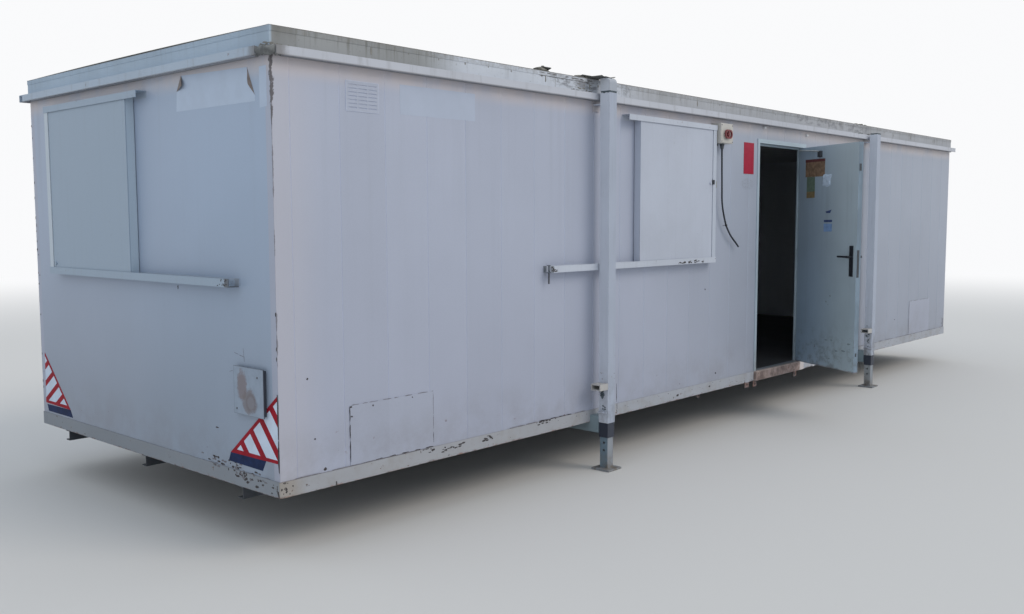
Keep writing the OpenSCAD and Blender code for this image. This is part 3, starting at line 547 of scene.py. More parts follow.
def wall_material(name, upper, lower, tint=None):
    """Old sprayed paint: faint runs, a warm stain under the drip rails that is laid paler as painted light,
    painted light in the grooves and dirt near the ground.
    """
    m = Recipe(name)
    m.color = m.mix(m.step(m.z, FLOOR, FLOOR + 1.5), lower, upper)
    if tint:
        value, low, high, shade = tint(m)
        m.lay(m.step(value, low, high), m.scaled(m.color, shade))
    m.tone(0.9, 0.3, 0.7, (0.965, 1.03), detail=3)
    panel_tone = m.add("ShaderNodeTexWhiteNoise")
    panel_tone.noise_dimensions = "1D"
    panel = m.math("FLOOR", m.math("DIVIDE", m.minus(m.x, LEFT + PANEL_FIRST), PANEL_PITCH))
    m.feed(panel_tone.inputs["W"], panel)
    m.color = m.scaled(m.color, m.step(panel_tone.outputs["Value"], 0, 1, (0.978, 1.018)))
    m.tone(150, 0.3, 0.7, (0.975, 1.01), detail=3)
    runs = m.patches(8.0, 0.50, 0.82, detail=5, rough=0.6, stretch=(1.6, 1.6, 0.05))
    m.lay(m.times(runs, m.step(m.z, FLOOR + 0.9, WALL_TOP, (0.05, 0.16))), "787a82")
    # A real warm stain under the drip rails, laid paler than the wall: painted light that lifts the shade
    # under them.
    stain_and_light = m.patches(3.2, 0.25, 0.60, (0.35, 1.0), detail=5, rough=0.65, stretch=(1, 1, 0.5))
    m.lay(m.times(m.step(m.z, WALL_TOP - 0.17, WALL_TOP - 0.065), stain_and_light, 0.65), "cec0ba")
    m.lay(m.times(m.along(0.34, 0.02), m.on_front(), 0.35), "beb8bc")
    by_leg = m.band(m.x, LEFT + 6.85, LEFT + 7.05, 0.12)
    m.lay(m.times(by_leg, m.on_front(), 0.25), "b4b2ac")
    inside = m.least(m.minus(m.x, LEFT), m.minus(RIGHT, m.x), m.minus(m.y, FRONT), m.minus(REAR, m.y))
    groove = m.band(inside, 0.0008, 0.0034, 0.0004)
    # Painted light in the panel grooves, lifting their shade.
    m.lay(groove, m.scaled(m.color, m.along(5, 8, (1.24, 1.36))))
    splash = m.patches(5.0, 0.36, 0.68, detail=6, rough=0.65)
    m.lay(m.times(m.step(m.z, FLOOR + 0.40, FLOOR - 0.02), splash, 0.22), DIRT)
    spots = m.patches(23, 0.715, 0.745, shift=(9, 4, 2))
    marks = m.times(spots, m.step(m.z, FLOOR + 0.30, FLOOR, (0.0, 0.9)))
    roughness = m.rust(marks, 0.48)
    seam = corner_seam(m)
    m.lay(m.times(seam, 0.92), "4c484c")
    smear = m.blot(m.x, m.z, (LEFT + 4.765, 2.045), (0.11, 0.050), m.noise(60, 4, 0.7), 1.6)
    smear = m.times(smear, m.patches(85, 0.47, 0.60, detail=2, stretch=(1, 1, 1.6)), m.on_front())
    m.lay(m.times(smear, 0.42), "70727a")
    m.lay(room_mask(m), "e2e6ec")
    m.grain(0.005, 1.6, 2, 0.4)
    m.grain(0.0003, 420, 2, 0.5)
    m.bump(m.most(marks, seam), -0.0008)
    m.finish(roughness)


def painted(name, paint, grime, chips, tint=None, dirt=None):
    """Painted metal: uneven tone, thin upright runs, small chips and dirt below one height."""
    m = Recipe(name)
    m.color = paint
    m.tone(1.7, 0.3, 0.7, (0.95, 1.05))
    if tint:
        m.lay(*tint(m))
    m.tone(160, 0.3, 0.7, (0.97, 1.01), detail=3)
    runs = m.patches(20, 0.50, 0.80, rough=0.6, stretch=(1.4, 1.4, 0.06))
    m.lay(m.times(runs, grime, 0.6), "76787c")
    spots = m.patches(31, 0.68, 0.72, detail=5, shift=(6, 1, 2))
    if dirt:
        low = m.step(m.z, dirt[1], dirt[0])
        m.lay(m.times(low, m.patches(14, 0.36, 0.66, detail=6, rough=0.66), grime * 1.6), DIRT)
        spots = m.times(spots, m.most(low, 0.2))
    roughness = m.rust(m.times(spots, chips), 0.5)
    m.grain(0.003, 2.4, 2, 0.4)
    m.grain(0.0004, 120, 3, 0.5)
    m.finish(roughness)


def plain(name, color, rough=0.5, metallic=0.0, vary=0.12, scale=18.0, bump=0.0004, specular=0.5):
    """Small part in one colour with uneven tone and a faint texture."""
    m = Recipe(name)
    m.color = color
    m.tone(scale, 0.3, 0.7, (1 - vary, 1 + vary), detail=5, rough=0.6)
    m.grain(bump, scale * 12, 3, 0.5)
    m.finish(rough, metallic, Specular_IOR_Level=specular)


def lay_fascia(m):
    """Grey board, darker with upright black runs near the front left corner, pale further on, and bluer on
    the end as painted sky-lit shade.
    """
    front = m.step(m.y, FRONT + 0.01, FRONT - 0.004)
    end = m.along(0.01, -0.004)
    far = m.step(m.minus(m.x, LEFT), 0.95, 1.40)
    right = m.step(m.minus(m.x, LEFT), 2.7, 3.3)
    board = m.mix(far, "939596", "c0c5ce")
    board = m.mix(right, board, "a6a8ad")
    # The end's board is bluer: painted sky-lit shade.
    m.color = m.mix(end, m.mix(front, "aeb3bc", board), "a8b8c8")
    m.tone(2.0, 0.3, 0.7, (0.94, 1.05))
    runs = m.patches(24, 0.48, 0.70, rough=0.65, stretch=(1.4, 1.4, 0.06))
    wide = m.patches(4.5, 0.52, 0.74, stretch=(1.2, 1.2, 0.05), shift=(7, 3, 0))
    upper = m.step(m.z, WALL_TOP + 0.005, FASCIA_TOP, (0.35, 1.0))
    strong = m.math("MULTIPLY_ADD", m.math("ADD", m.times(far, -0.42), m.times(right, 0.22)), 1.0, 0.72)
    strong = m.times(strong, m.step(end, 0, 1, (1.0, 0.22)))
    m.lay(m.times(m.most(runs, m.times(wide, 0.8)), upper, strong), "62605a")
    m.lay(m.times(m.patches(70, 0.62, 0.74, detail=3), m.step(end, 0, 1, (0.35, 0.1))), "686c62")
    torn_at = m.most(
        m.band(m.x, LEFT + 2.20, LEFT + 2.60, 0.10),
        m.times(m.band(m.x, LEFT + 2.70, LEFT + 3.02, 0.08), 0.7),
        m.times(m.band(m.x, LEFT + 5.70, LEFT + 7.14, 0.20), 0.8),
    )
    torn = m.patches(17, 0.47, 0.60, detail=6, rough=0.72, stretch=(0.6, 1, 1.5), shift=(4, 0, 1))
    torn = m.times(torn, torn_at, m.step(m.z, WALL_TOP + 0.005, WALL_TOP + 0.035))
    m.lay(m.times(torn, 0.7), "68686e")


def fascia_material():
    m = Recipe("fascia_weathered")
    lay_fascia(m)
    m.grain(0.004, 2.2, 3, 0.5)
    m.grain(0.0005, 150, 3, 0.6)
    m.finish(0.78)


def felt_material(name, skirt=True):
    """Mineral felt with laps and moss, and the fascia's grey where it is turned down, with painted shadow
    along its lower edge.
    """
    m = Recipe(name)
    if skirt:
        lay_fascia(m)
        side = m.along(-0.004, 0.010)
        m.lay(m.times(m.patches(40, 0.35, 0.7, (0, 0.4)), side), "86827c")
        # Painted shadow along the skirt's lower edge.
        hem = m.step(m.ragged(m.z, 0.010, 50, 4, 0.7), FASCIA_TOP - 0.0190, FASCIA_TOP - 0.0225)
        m.lay(m.times(hem, m.patches(7, 0.45, 0.6, detail=2), side, 0.5), "686664")
        rim = m.step(m.z, FASCIA_TOP - 0.001, FASCIA_TOP + 0.002)
        m.lay(m.times(rim, m.step(side, 0, 1, (0.3, 0.7))), "787470")
    grey = m.color
    m.color = m.mix(m.patches(900, 0.35, 0.65, detail=2), "3e4040", "767774")
    m.lay(m.patches(1.1, 0.40, 0.66, (0, 0.6), detail=5), "62625c")
    moss = m.patches(3.2, 0.60, 0.70, detail=6, rough=0.7, shift=(2, 8, 0))
    m.lay(m.times(moss, 0.75), "4a5034")
    m.lay(m.patches(0.6, 0.46, 0.60, (0, 0.55), detail=7, rough=0.68, shift=(5, 2, 0)), "807f78")
    m.lay(m.times(m.patches(0.9, 0.50, 0.56, detail=4, shift=(1, 6, 0)), 0.35), "3a3c3e")
    within = m.math("FLOORED_MODULO", m.minus(m.x, LEFT), 0.98)
    lap = m.step(m.away(within, 0.49), 0.016, 0.008)
    m.lay(m.times(lap, 0.7), "222224")
    if skirt:
        m.lay(m.step(m.z, FASCIA_TOP + 0.0047, FASCIA_TOP + 0.0035), grey)
    m.grain(0.0010, 1200, 2, 0.5)
    m.grain(0.005, 6, 4, 0.5)
    m.finish(0.95)


def drip_material():
    """Painted steel angle: pale lip with faint runs, bluer on the end as painted shade, and painted shade
    along its lower edge.
    """
    m = Recipe("drip_rail_paint")
    # Bluer on the end: painted sky-lit shade.
    m.color = m.mix(m.along(-0.004, -0.046), "b9bcc5", "a8b6c6")
    m.tone(1.5, 0.3, 0.7, (0.95, 1.03))
    runs = m.patches(16, 0.50, 0.76, rough=0.6, stretch=(1.3, 1.3, 0.2))
    m.lay(m.times(runs, 0.30), "808080")
    # Painted shade along the lower edge of the lip.
    m.lay(m.times(m.step(m.z, WALL_TOP - 0.038, WALL_TOP - 0.044), 0.5), "686462")
    from_corner = m.most(m.minus(m.x, LEFT), m.minus(m.y, FRONT + 0.045))
    near = m.step(m.ragged(from_corner, 0.06, 40, 5, 0.7), 0.125, 0.050)
    m.lay(m.times(near, 0.8), "706e6e")
    roughness = m.rust(m.times(m.patches(25, 0.69, 0.73, shift=(1, 6, 3)), 0.45), 0.55)
    m.grain(0.003, 3, 3, 0.5)
    m.finish(roughness)


def base_rail_material():
    """Painted base rail: cream-grey dirt, a dark line along its top, worn paint low down, and a darker bluish
    grey on the faces that do not look to the front, painted shade.
    """
    m = Recipe("base_rail_paint")
    front = m.step(m.y, FRONT + 0.01, FRONT - 0.002)
    paint = m.mix(m.along(2.60, 2.72), "9ea0a6", "a1a5ae")
    # Faces that do not look to the front are darker: painted shade.
    m.color = m.mix(front, "828890", paint)
    m.lay(m.times(m.along(0.17, 0.05), front, 0.6), "988c7e")
    m.tone(2.0, 0.3, 0.7, (0.94, 1.03))
    dirty = m.patches(9, 0.42, 0.70, (0, 0.35), detail=5, rough=0.65)
    m.lay(m.times(dirty, m.step(front, 0, 1, (0.3, 1))), "88847c")
    line = m.step(m.ragged(m.z, 0.006, 12, 5, 0.7), FLOOR - 0.0005, FLOOR + 0.002)
    quiet = m.times(m.step(front, 0, 1, (0.3, 1.0)), m.along(0.8, 1.2, (1.0, 0.35)))
    m.lay(m.times(line, 0.65, quiet), "5c5860")
    worn = m.step(m.ragged(m.z, -0.05, 13, 6, 0.72), BASE_LOW - 0.018, BASE_LOW - 0.030)
    spots = m.patches(34, 0.665, 0.70, detail=5, shift=(4, 4, 4))
    roughness = m.rust(m.most(m.times(worn, 0.75), m.times(spots, 0.7)), 0.6)
    m.grain(0.0008, 60, 4, 0.6)
    m.finish(roughness)


def floor_material():
    m = Recipe("floor_covering")
    m.color = "404246"
    m.tone(3, 0.3, 0.7, (0.75, 1.15), detail=5, rough=0.6)
    m.lay(m.patches(14, 0.5, 0.75, (0, 0.4), detail=6, rough=0.7), "5c5a56")
    m.grain(0.0003, 200, 3, 0.5)
    m.finish(0.6)


def tube_material():
    """Leg tube: painted light on its sideways faces, dark collar at its foot, cream strap on the wall and
    dirt low down.
    """
    collar_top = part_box("leg_tubes")[0].z + 0.103
    m = Recipe("leg_tube_paint")
    # Painted light: the faces that look along the cabin are paler.
    m.color = m.mix(m.sideways(), "a3abbb", "c6cbd6")
    m.tone(2.4, 0.3, 0.7, (0.95, 1.03))
    strap = m.step(m.away(m.y, (FRONT + REAR) / 2), WIDTH / 2 + 0.0095, WIDTH / 2 + 0.0085)
    m.lay(strap, "b4afb2")
    runs = m.patches(40, 0.52, 0.78, rough=0.6, stretch=(1, 1, 0.05))
    m.lay(m.times(runs, 0.25), "7e848c")
    dirty = m.patches(15, 0.40, 0.62, detail=6, rough=0.7, stretch=(1, 1, 0.5))
    dirty = m.times(m.step(m.z, 0.85, 0.30), dirty, m.along(6.9, 7.0, (0.45, 1.0)))
    m.lay(m.times(dirty, 0.75), "5c5854")
    collar = m.step(m.ragged(m.z, 0.006, 45, 4, 0.6), collar_top + 0.0045, collar_top + 0.0025)
    m.lay(collar, "2e3442")
    spots = m.patches(34, 0.67, 0.71, detail=5, shift=(6, 1, 2))
    spots = m.times(spots, m.step(m.z, 1.0, 0.35, (0.1, 0.8)), m.step(collar, 0, 1, (1, 0.3)))
    roughness = m.rust(spots, 0.5)
    m.grain(0.0004, 90, 3, 0.5)
    m.finish(roughness)


def door_material():
    """Leaf: pale blue-grey, bluer at the hinges and greener at the lock, scuffed near the foot."""
    low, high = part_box("door_leaf")
    m = Recipe("door_leaf_paint")
    m.color = m.mix(m.step(m.minus(HINGE.y, m.y), 0.05, 0.62), "98aec4", "acbcc4")
    m.tone(1.8, 0.3, 0.7, (0.94, 1.04))
    m.lay(m.step(m.z, low.z + 0.2, high.z - 0.2, (0.0, 0.25)), "b2b6b8")
    m.lay(m.times(m.patches(14, 0.50, 0.78, stretch=(1, 1, 0.07)), 0.18), "707a80")
    lengthwise = m.times(m.minus(HINGE.x, m.x), math.cos(DOOR_OPEN))
    across = m.times(m.minus(HINGE.y, m.y), math.sin(DOOR_OPEN))
    edge_face = m.step(m.math("ADD", lengthwise, across), LEAF_WIDTH - 0.0015, LEAF_WIDTH - 0.0005)
    m.lay(edge_face, m.mix(m.patches(9, 0.4, 0.65, stretch=(1, 1, 0.3)), "8092a2", "70808e"))
    foot = m.step(m.z, low.z + 0.50, low.z + 0.02)
    m.lay(m.times(foot, m.patches(12, 0.46, 0.66, detail=6, rough=0.7), 0.5), "606262")
    edge = m.step(m.ragged(m.z, -0.03, 18, 5, 0.7), low.z, low.z - 0.014)
    spots = m.patches(26, 0.70, 0.73, detail=5, shift=(3, 3, 3))
    roughness = m.rust(m.most(m.times(spots, foot, 0.7), m.times(edge, 0.5)), 0.45)
    m.grain(0.004, 1.5, 2, 0.4)
    m.finish(roughness)


def sill_material():
    """Pinkish bare sill with worn pale patches and a paler end towards the hinges."""
    m = Recipe("sill_worn")
    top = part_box("door_sill")[1].z
    m.color = m.mix(m.patches(13, 0.35, 0.65, detail=6, rough=0.7), "70605c", "a6948e")
    m.lay(m.step(m.ragged(m.x, 0.05, 20, 4, 0.7), LEFT + 5.79, LEFT + 5.81), "c4bebe")
    m.lay(m.times(m.step(m.z, top - 0.012, top - 0.002), 0.5), "baaea8")
    roughness = m.rust(m.patches(30, 0.62, 0.68, (0, 0.6), detail=5), 0.8)
    m.grain(0.001, 80, 4, 0.6)
    m.finish(roughness)


def inlet_material():
    """Grey plate with two blended brown smears, and painted shade on the plate's edges and on the sides of
    its box.
    """
    m = Recipe("inlet_paint")
    m.color = "8e9bac"
    m.tone(24, 0.3, 0.7, (0.93, 1.03))
    across = m.minus(m.y, FRONT)
    ragged = m.noise(30, 6, 0.75)
    upper = m.blot(across, m.z, (0.292, 0.885), (0.046, 0.085), ragged, 2.6)
    lower = m.blot(across, m.z, (0.226, 0.805), (0.066, 0.066), ragged, 2.6)
    outer = m.blot(across, m.z, (0.208, 0.798), (0.054, 0.056), ragged, 0.5)
    ring = m.minus(outer, m.blot(across, m.z, (0.213, 0.800), (0.034, 0.036), ragged, 0.5))
    m.lay(m.times(upper, 0.8), "766a6c")
    m.lay(m.times(lower, 0.75), "726a6c")
    m.lay(m.times(m.most(ring, 0.0), 0.45), "62585a")
    # Painted shade along the plate's edges and, below, on the box's sides.
    rim = m.most(m.step(m.away(across, 0.2335), 0.1325, 0.1365), m.step(m.away(m.z, 0.8575), 0.1225, 0.1265))
    m.lay(m.times(rim, 0.45), "60646c")
    m.lay(m.along(-0.0237, -0.0232), "40444e")
    m.grain(0.0004, 120, 3, 0.5)
    m.finish(0.55)


def glass_material():
    m = Recipe("window_glass_dusty")
    m.color = m.mix(m.patches(9, 0.35, 0.75, detail=5, rough=0.6), "5a6264", "8c908e")
    m.finish(0.25, IOR=1.45)


def vent_material():
    """Wall paint on the vent, with painted light on its thin edges and back so that their shade merges with
    the wall.
    """
    low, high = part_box("vent_plate")
    m = Recipe("vent_paint")
    m.color = "a8aebe"
    m.tone(40, 0.3, 0.7, (0.97, 1.02))
    inside = m.least(m.minus(m.x, low.x), m.minus(high.x, m.x), m.minus(m.z, low.z), m.minus(high.z, m.z))
    behind = m.step(m.y, low.y + 0.0002, low.y + 0.0008)
    # Painted light on the thin edges, lifting their shade.
    m.lay(m.most(m.step(inside, 0.0012, 0.0004), behind), m.scaled(m.color, (1.7, 1.7, 1.7)))
    m.grain(0.0003, 420, 2, 0.5)
    m.finish(0.5)


# Tints: a wall's gives a value, its two limits and a shade, and the others give a mask and a shade
def darker_to_the_right(m):
    return m.x, LEFT + 2.6, LEFT + 5.4, "eef0ee"


# Painted shade: the end walls turn bluer towards the near corner, as sky-lit shade.
def bluer_shade_to_the_near_corner(m):
    return m.math("MULTIPLY", m.minus(m.y, FRONT), -1), -2.2, -0.5, "f6fcff"


def guide_tint(m):
    """Painted shade on the end, bluer and darker; bare dark steel on the bolts that hang below the lower
    guides; and dark free ends of the lower guides, rust on the front one and painted shade in the open end of
    the end's one.
    """
    end = m.on_end()
    bolt = m.step(m.z, GUIDE_LOW - 0.001, GUIDE_LOW - 0.003)
    ragged = m.math("MULTIPLY", m.noise(55, 4, 0.7), 0.05)
    free_front = m.step(m.math("ADD", m.x, ragged), LEFT + 2.135, LEFT + 2.125)
    free_end = m.times(end, m.step(m.math("ADD", m.y, ragged), FRONT + 0.398, FRONT + 0.388))
    low_rail = m.step(m.z, 1.50, 1.49)
    # Dark free ends of the lower guides: rust at the front, painted shade inside the end's open rail end.
    worn = m.times(m.most(free_front, free_end), low_rail, m.step(m.y, REAR - 0.5, REAR - 0.6))
    worn = m.times(worn, m.most(free_end, m.step(m.y, FRONT + 0.003, FRONT - 0.001)), 0.85)
    dark = m.most(bolt, worn)
    return m.most(end, dark), m.mix(dark, SHUTTER_END_SHADE, "4e5056")


def shutter_tint(m):
    """Painted shade on the end, bluer and darker, and painted light on the sides of every shutter, paler."""
    out = m.most(m.minus(LEFT, m.x), m.minus(FRONT, m.y), m.minus(m.x, RIGHT), m.minus(m.y, REAR))
    end = m.on_end()
    side = m.step(out, 0.0545, 0.0500)
    shade = m.mix(end, "bac0ce", m.mix(side, SHUTTER_END_SHADE, "b8c7d4"))
    return m.most(end, side), shade


# Painted light on the end: its strips are paler and bluer.
def strip_tint(m):
    return m.on_end(), "bcc6d0"


# Painted light: paler paint on the faces that look along the cabin.
def sideways_painted_light(m):
    return m.sideways(), "c2c6ce"


def ram_tint(m):
    """Painted shade on the first legs' sides, blue-grey, and painted light on the second ones', paler, above
    the foot.
    """
    shade = m.mix(m.along(6, 6.5), "6c808e", "969a9e")
    return m.times(m.sideways(), m.step(m.z, 0.012, 0.018)), shade


# Materials
wall_material("wall_paint_sides", "a9afc0", "a2a7b8", darker_to_the_right)
# The ends' paint is bluer and darker than the sides': painted sky-lit shade.
wall_material("wall_paint_ends_shaded", "a7b3c7", "949cab", bluer_shade_to_the_near_corner)
wall_material("patch_paint", "a8aebe", "a0a5b5")
felt_material("roof_felt_mineral")
felt_material("felt_scrap", skirt=False)
for make_material in (
    fascia_material, drip_material, base_rail_material, floor_material, tube_material, door_material,
    sill_material, inlet_material, glass_material, vent_material,
):
    make_material()

# Painted steel: colour, grime, chips, tint and the heights between which dirt fades
painted("shutter_paint", "b1b7c5", 0.15, 0.1, shutter_tint)
painted("guide_paint", "b8beca", 0.25, 0.5, guide_tint)
painted("strip_paint", "b2b9c6", 0.25, 0.1, strip_tint)
painted("cap_paint", "a2a8b2", 0.6, 0.7, sideways_painted_light)
painted("lug_paint", "b0aeac", 0.5, 0.9)
painted("outrigger_paint", "7e8e96", 0.4, 0.5)
painted("ram_paint", "8a9098", 0.7, 1.0, ram_tint, (0.0, 0.16))
painted("door_frame_paint", "a6b5c0", 0.3, 0.6, None, (FLOOR, 0.75))

# Small parts: colour, roughness, metal, unevenness, scale of the texture, its bump and the specular level
SMALL_PARTS = {
    "bearer_paint": ("34383e", 0.75, 0, 0.3, 9),
    "joist_timber": ("605242", 0.85, 0, 0.3, 12),
    "ceiling_board": ("e4e6e8", 0.8, 0, 0.06, 3),
    "isolator_plastic": ("b8b5b0", 0.45, 0, 0.05),
    "isolator_red": ("6e282e", 0.5, 0, 0.1),
    "gland_grey": ("4a4e54", 0.5, 0, 0.15, 60),
    "cable_sheath": ("1c212a", 0.65, 0, 0.2, 50),
    "lock_steel": ("42454c", 0.4, 0.7, 0.2, 40),
    "hinge_steel": ("70787e", 0.5, 0.3, 0.2, 40),
    "window_frame_paint": ("c4c6c8", 0.4, 0, 0.05),
    "mark_dark": ("3e3a3c", 0.9, 0, 0.3, 60),
    "mark_grey": ("706e74", 0.85, 0, 0.2, 60),
    "mark_faint": ("84868e", 0.8, 0, 0.15, 60),
    "leaf_scuff": ("869298", 0.8, 0, 0.2, 40),
    "felt_hem_and_shadow": ("605e5e", 0.95, 0, 0.35, 40),
    "felt_drip": ("82807c", 0.95, 0, 0.2, 40),
    "moss": ("84827c", 1.0, 0, 0.35, 70, 0.002),
    "corner_dirt": ("767878", 0.95, 0, 0.25, 30, 0.002),
    "sticker_white": ("c6d2e2", 0.6, 0, 0.06, 14, 0.0004, 0.15),
    "sticker_red": ("921828", 0.6, 0, 0.16, 14, 0.0004, 0.15),
    "sticker_blue": ("18284c", 0.6, 0, 0.25, 20, 0.0004, 0.15),
    "vinyl_bare_end": ("b0bed2", 0.5, 0, 0.03, 10),
    "vinyl_bare_front": ("aab3c5", 0.5, 0, 0.02, 10),
    "vinyl_back": ("7c726e", 0.7, 0, 0.2, 30),
    "plate_red": ("9e283e", 0.5, 0, 0.08, 20, 0.0004, 0.15),
    "paper_brown": ("826a56", 0.8, 0, 0.3, 34),
    "paper_red": ("623636", 0.8, 0, 0.2, 40),
    "paper_green": ("687a6c", 0.8, 0, 0.15, 30),
    "paper_yellow": ("867656", 0.8, 0, 0.2, 30),
    "label_olive": ("929078", 0.6, 0, 0.15, 60),
    "closer_dark": ("42464c", 0.5, 0.3, 0.2, 50),
    "closer_arm": ("b0b4b6", 0.45, 0.2, 0.15, 50),
    "paper_white": ("becee0", 0.8, 0, 0.06, 30, 0.002),
    "paper_blue": ("809ec8", 0.7, 0, 0.15, 30),
    "ink_blue": ("3e4e7a", 0.7, 0, 0.2, 30),
    "leg_shade_and_grime": ("505a60", 0.9, 0, 0.35, 60),
    "screw_steel": ("5c6066", 0.5, 0.5, 0.2, 60),
    "pale_knob": ("d6d6d8", 0.5, 0, 0.08, 40),
}
for part, values in SMALL_PARTS.items():
    plain(part, *values)

# Nodes that each material goes on
NODE_MATERIALS = {
    "wall_paint_sides": "front_wall front_wall_spandrels rear_wall",
    "wall_paint_ends_shaded": "left_wall left_wall_spandrels right_wall",
    "ceiling_board": "ceiling roof_deck",
    "roof_felt_mineral": "roof_felt",
    "fascia_weathered": "fascias_side fascias_end",
    "drip_rail_paint": "drip_rails",
    "window_frame_paint": "window_frames",
    "window_glass_dusty": "window_glass",
    "shutter_paint": "shutters",
    "guide_paint": "shutter_guides",
    "strip_paint": "shutter_jambs",
    "vent_paint": "vent_plate",
    "patch_paint": "patch_panels",
    "inlet_paint": "inlet_plate",
    "isolator_plastic": "isolator_box",
    "isolator_red": "isolator_handle",
    "gland_grey": "cable_gland",
    "cable_sheath": "cable",
    "door_frame_paint": "door_jambs door_head",
    "sill_worn": "door_sill",
    "hinge_steel": "frame_hinge_halves leaf_hinge_halves",
    "door_leaf_paint": "door_leaf",
    "lock_steel": "lock_plates door_handle",
    "leg_tube_paint": "leg_tubes",
    "cap_paint": "leg_caps",
    "lug_paint": "lifting_lugs",
    "outrigger_paint": "outriggers",
    "ram_paint": "leg_ram_front_left leg_ram_front_right leg_ram_rear_left leg_ram_rear_right",
    "base_rail_paint": "base_rails_side base_rails_end",
    "bearer_paint": "bearers",
    "joist_timber": "floor_joists",
    "floor_covering": "floor_deck",
}
for material, nodes in NODE_MATERIALS.items():
    for node in nodes.split():
        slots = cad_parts[node].data.materials
        slots.clear()
        slots.append(MATERIALS[material])


# Cable
# Its route from part.scad: along, out from the wall and up from the isolator's lower corner
CABLE_DIAMETER = 0.014
CABLE_ROUTE = [
    (0.100, 0.044, -0.044), (0.100, 0.044, -0.077), (0.102, 0.044, -0.130), (0.104, 0.044, -0.211),
    (0.107, 0.044, -0.292), (0.109, 0.044, -0.367), (0.113, 0.043, -0.437), (0.124, 0.042, -0.500),
    (0.144, 0.041, -0.559), (0.167, 0.040, -0.612), (0.193, 0.039, -0.660), (0.222, 0.038, -0.695),
    (0.254, 0.037, -0.727), (0.290, 0.036, -0.757), (0.329, 0.036, -0.785), (0.368, 0.036, -0.812),
    (0.405, 0.036, -0.840),
]
ISOLATOR_LOW, ISOLATOR_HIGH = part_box("isolator_box")
CABLE_PATH = smooth_path(
    [Vector((ISOLATOR_LOW.x + along, FRONT - out, ISOLATOR_LOW.z + up)) for along, out, up in CABLE_ROUTE], 4
)
TIE_HEIGHT = 1.696


def make_cable():
    bm = bmesh.new()
    add_tube(bm, CABLE_PATH, CABLE_DIAMETER / 2)
    cable = new_object("cable_run", bm, "cable_sheath", smooth=True, slot="cable_black")
    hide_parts("cable")
    bm = bmesh.new()
    spot = min(CABLE_PATH, key=lambda p: abs(p.z - TIE_HEIGHT))
    ahead = (CABLE_PATH[CABLE_PATH.index(spot) + 1] - spot).normalized()
    turn = ahead.to_track_quat("Z", "Y").to_matrix()
    for lift in (-0.0025, 0.0025):
        turns = [math.pi * k / 8 for k in range(17)]
        ring = [spot + turn @ Vector((0.0088 * math.cos(t), 0.0088 * math.sin(t), lift)) for t in turns]
        add_tube(bm, ring, 0.0022, 8)
    add_tube(bm, [spot + turn @ Vector((0.009 + 0.012 * k, 0, 0.002 * k)) for k in range(3)], 0.0016, 6)
    tie = new_object("cable_tie", bm, "mark_dark", smooth=True)


make_cable()

# How far marks lie out from the wall on the fascia, base rail, patch panel, guides and turned-down felt
ON_FASCIA = 0.0092
ON_RAIL = 0.004
ON_PATCH = 0.003
ON_GUIDE = 0.066
SKIRT_OUT = 0.011
FELT_FOOT = FASCIA_TOP - 0.024
LEG_STARTS = (2.585, 7.145)
CAPS_LOW = 2.604


# Roof edge
def felt_hem_foot(along):
    fine = noise.noise(Vector((along * 33, 2, 8)))
    return FELT_FOOT - 0.002 - 0.014 * max(0, fine + 0.1)


def make_roof_edge():
    """Torn dark hem of the felt before the first leg, broken lines of painted shadow under the felt's edge,
    grey drips and the fascia boards' joints.
    """
    for name, place, first, last in (("front", at_front, 2.02, 2.60), ("rear", at_rear, 6.10, 6.70)):
        marks = Marks(11 + len(name), "felt_hem_and_shadow", "felt_drip")
        rng = marks.rng
        hem = marks.meshes["felt_hem_and_shadow"]
        add_ragged(hem, place, first, last, SKIRT_OUT - 0.002, 0.0012, FELT_FOOT + 0.004, felt_hem_foot)
        # Broken lines of painted shadow under the felt's lower edge.
        marks.line("felt_hem_and_shadow", place, (first, 2.693), (first + 0.18, 2.691), SKIRT_OUT, 0.006, 0.06, 0.01)
        start, end = (first + 0.25, 2.690), (last - 0.02, 2.686)
        marks.line("felt_hem_and_shadow", place, start, end, SKIRT_OUT, 0.008, 0.05, 0.03)
        marks.finish("felt_hem_and_shadow", f"felt_hem_and_shadow_{name}")
        for _ in range(20):
            along = rng.uniform(0.15, LENGTH - 0.15)
            reach = rng.choice((0.012, 0.018, 0.03, 0.05))
            wide = rng.uniform(0.008, 0.018)
            marks.chip("felt_drip", place, along, FELT_FOOT - reach * 0.45, wide, reach, ON_FASCIA)
        for along in (2.181, 3.022, 4.6, 6.3, 7.9):
            start, end = (along, FASCIA_TOP - 0.026), (along + 0.002, WALL_TOP + 0.004)
            marks.line("felt_drip", place, start, end, ON_FASCIA, 0.005, 0.05, 0.006)
        marks.chip("felt_drip", place, 0.634, 2.655, 0.016, 0.075, ON_FASCIA)
        marks.scatter("felt_drip", place, 14, lambda: last - 0.03 - abs(rng.gauss(0, 0.13)),
                      lambda: rng.uniform(2.615, 2.668), (0.016, 0.045), (0.006, 0.014), ON_FASCIA)
        marks.finish("felt_drip", f"felt_drips_{name}")


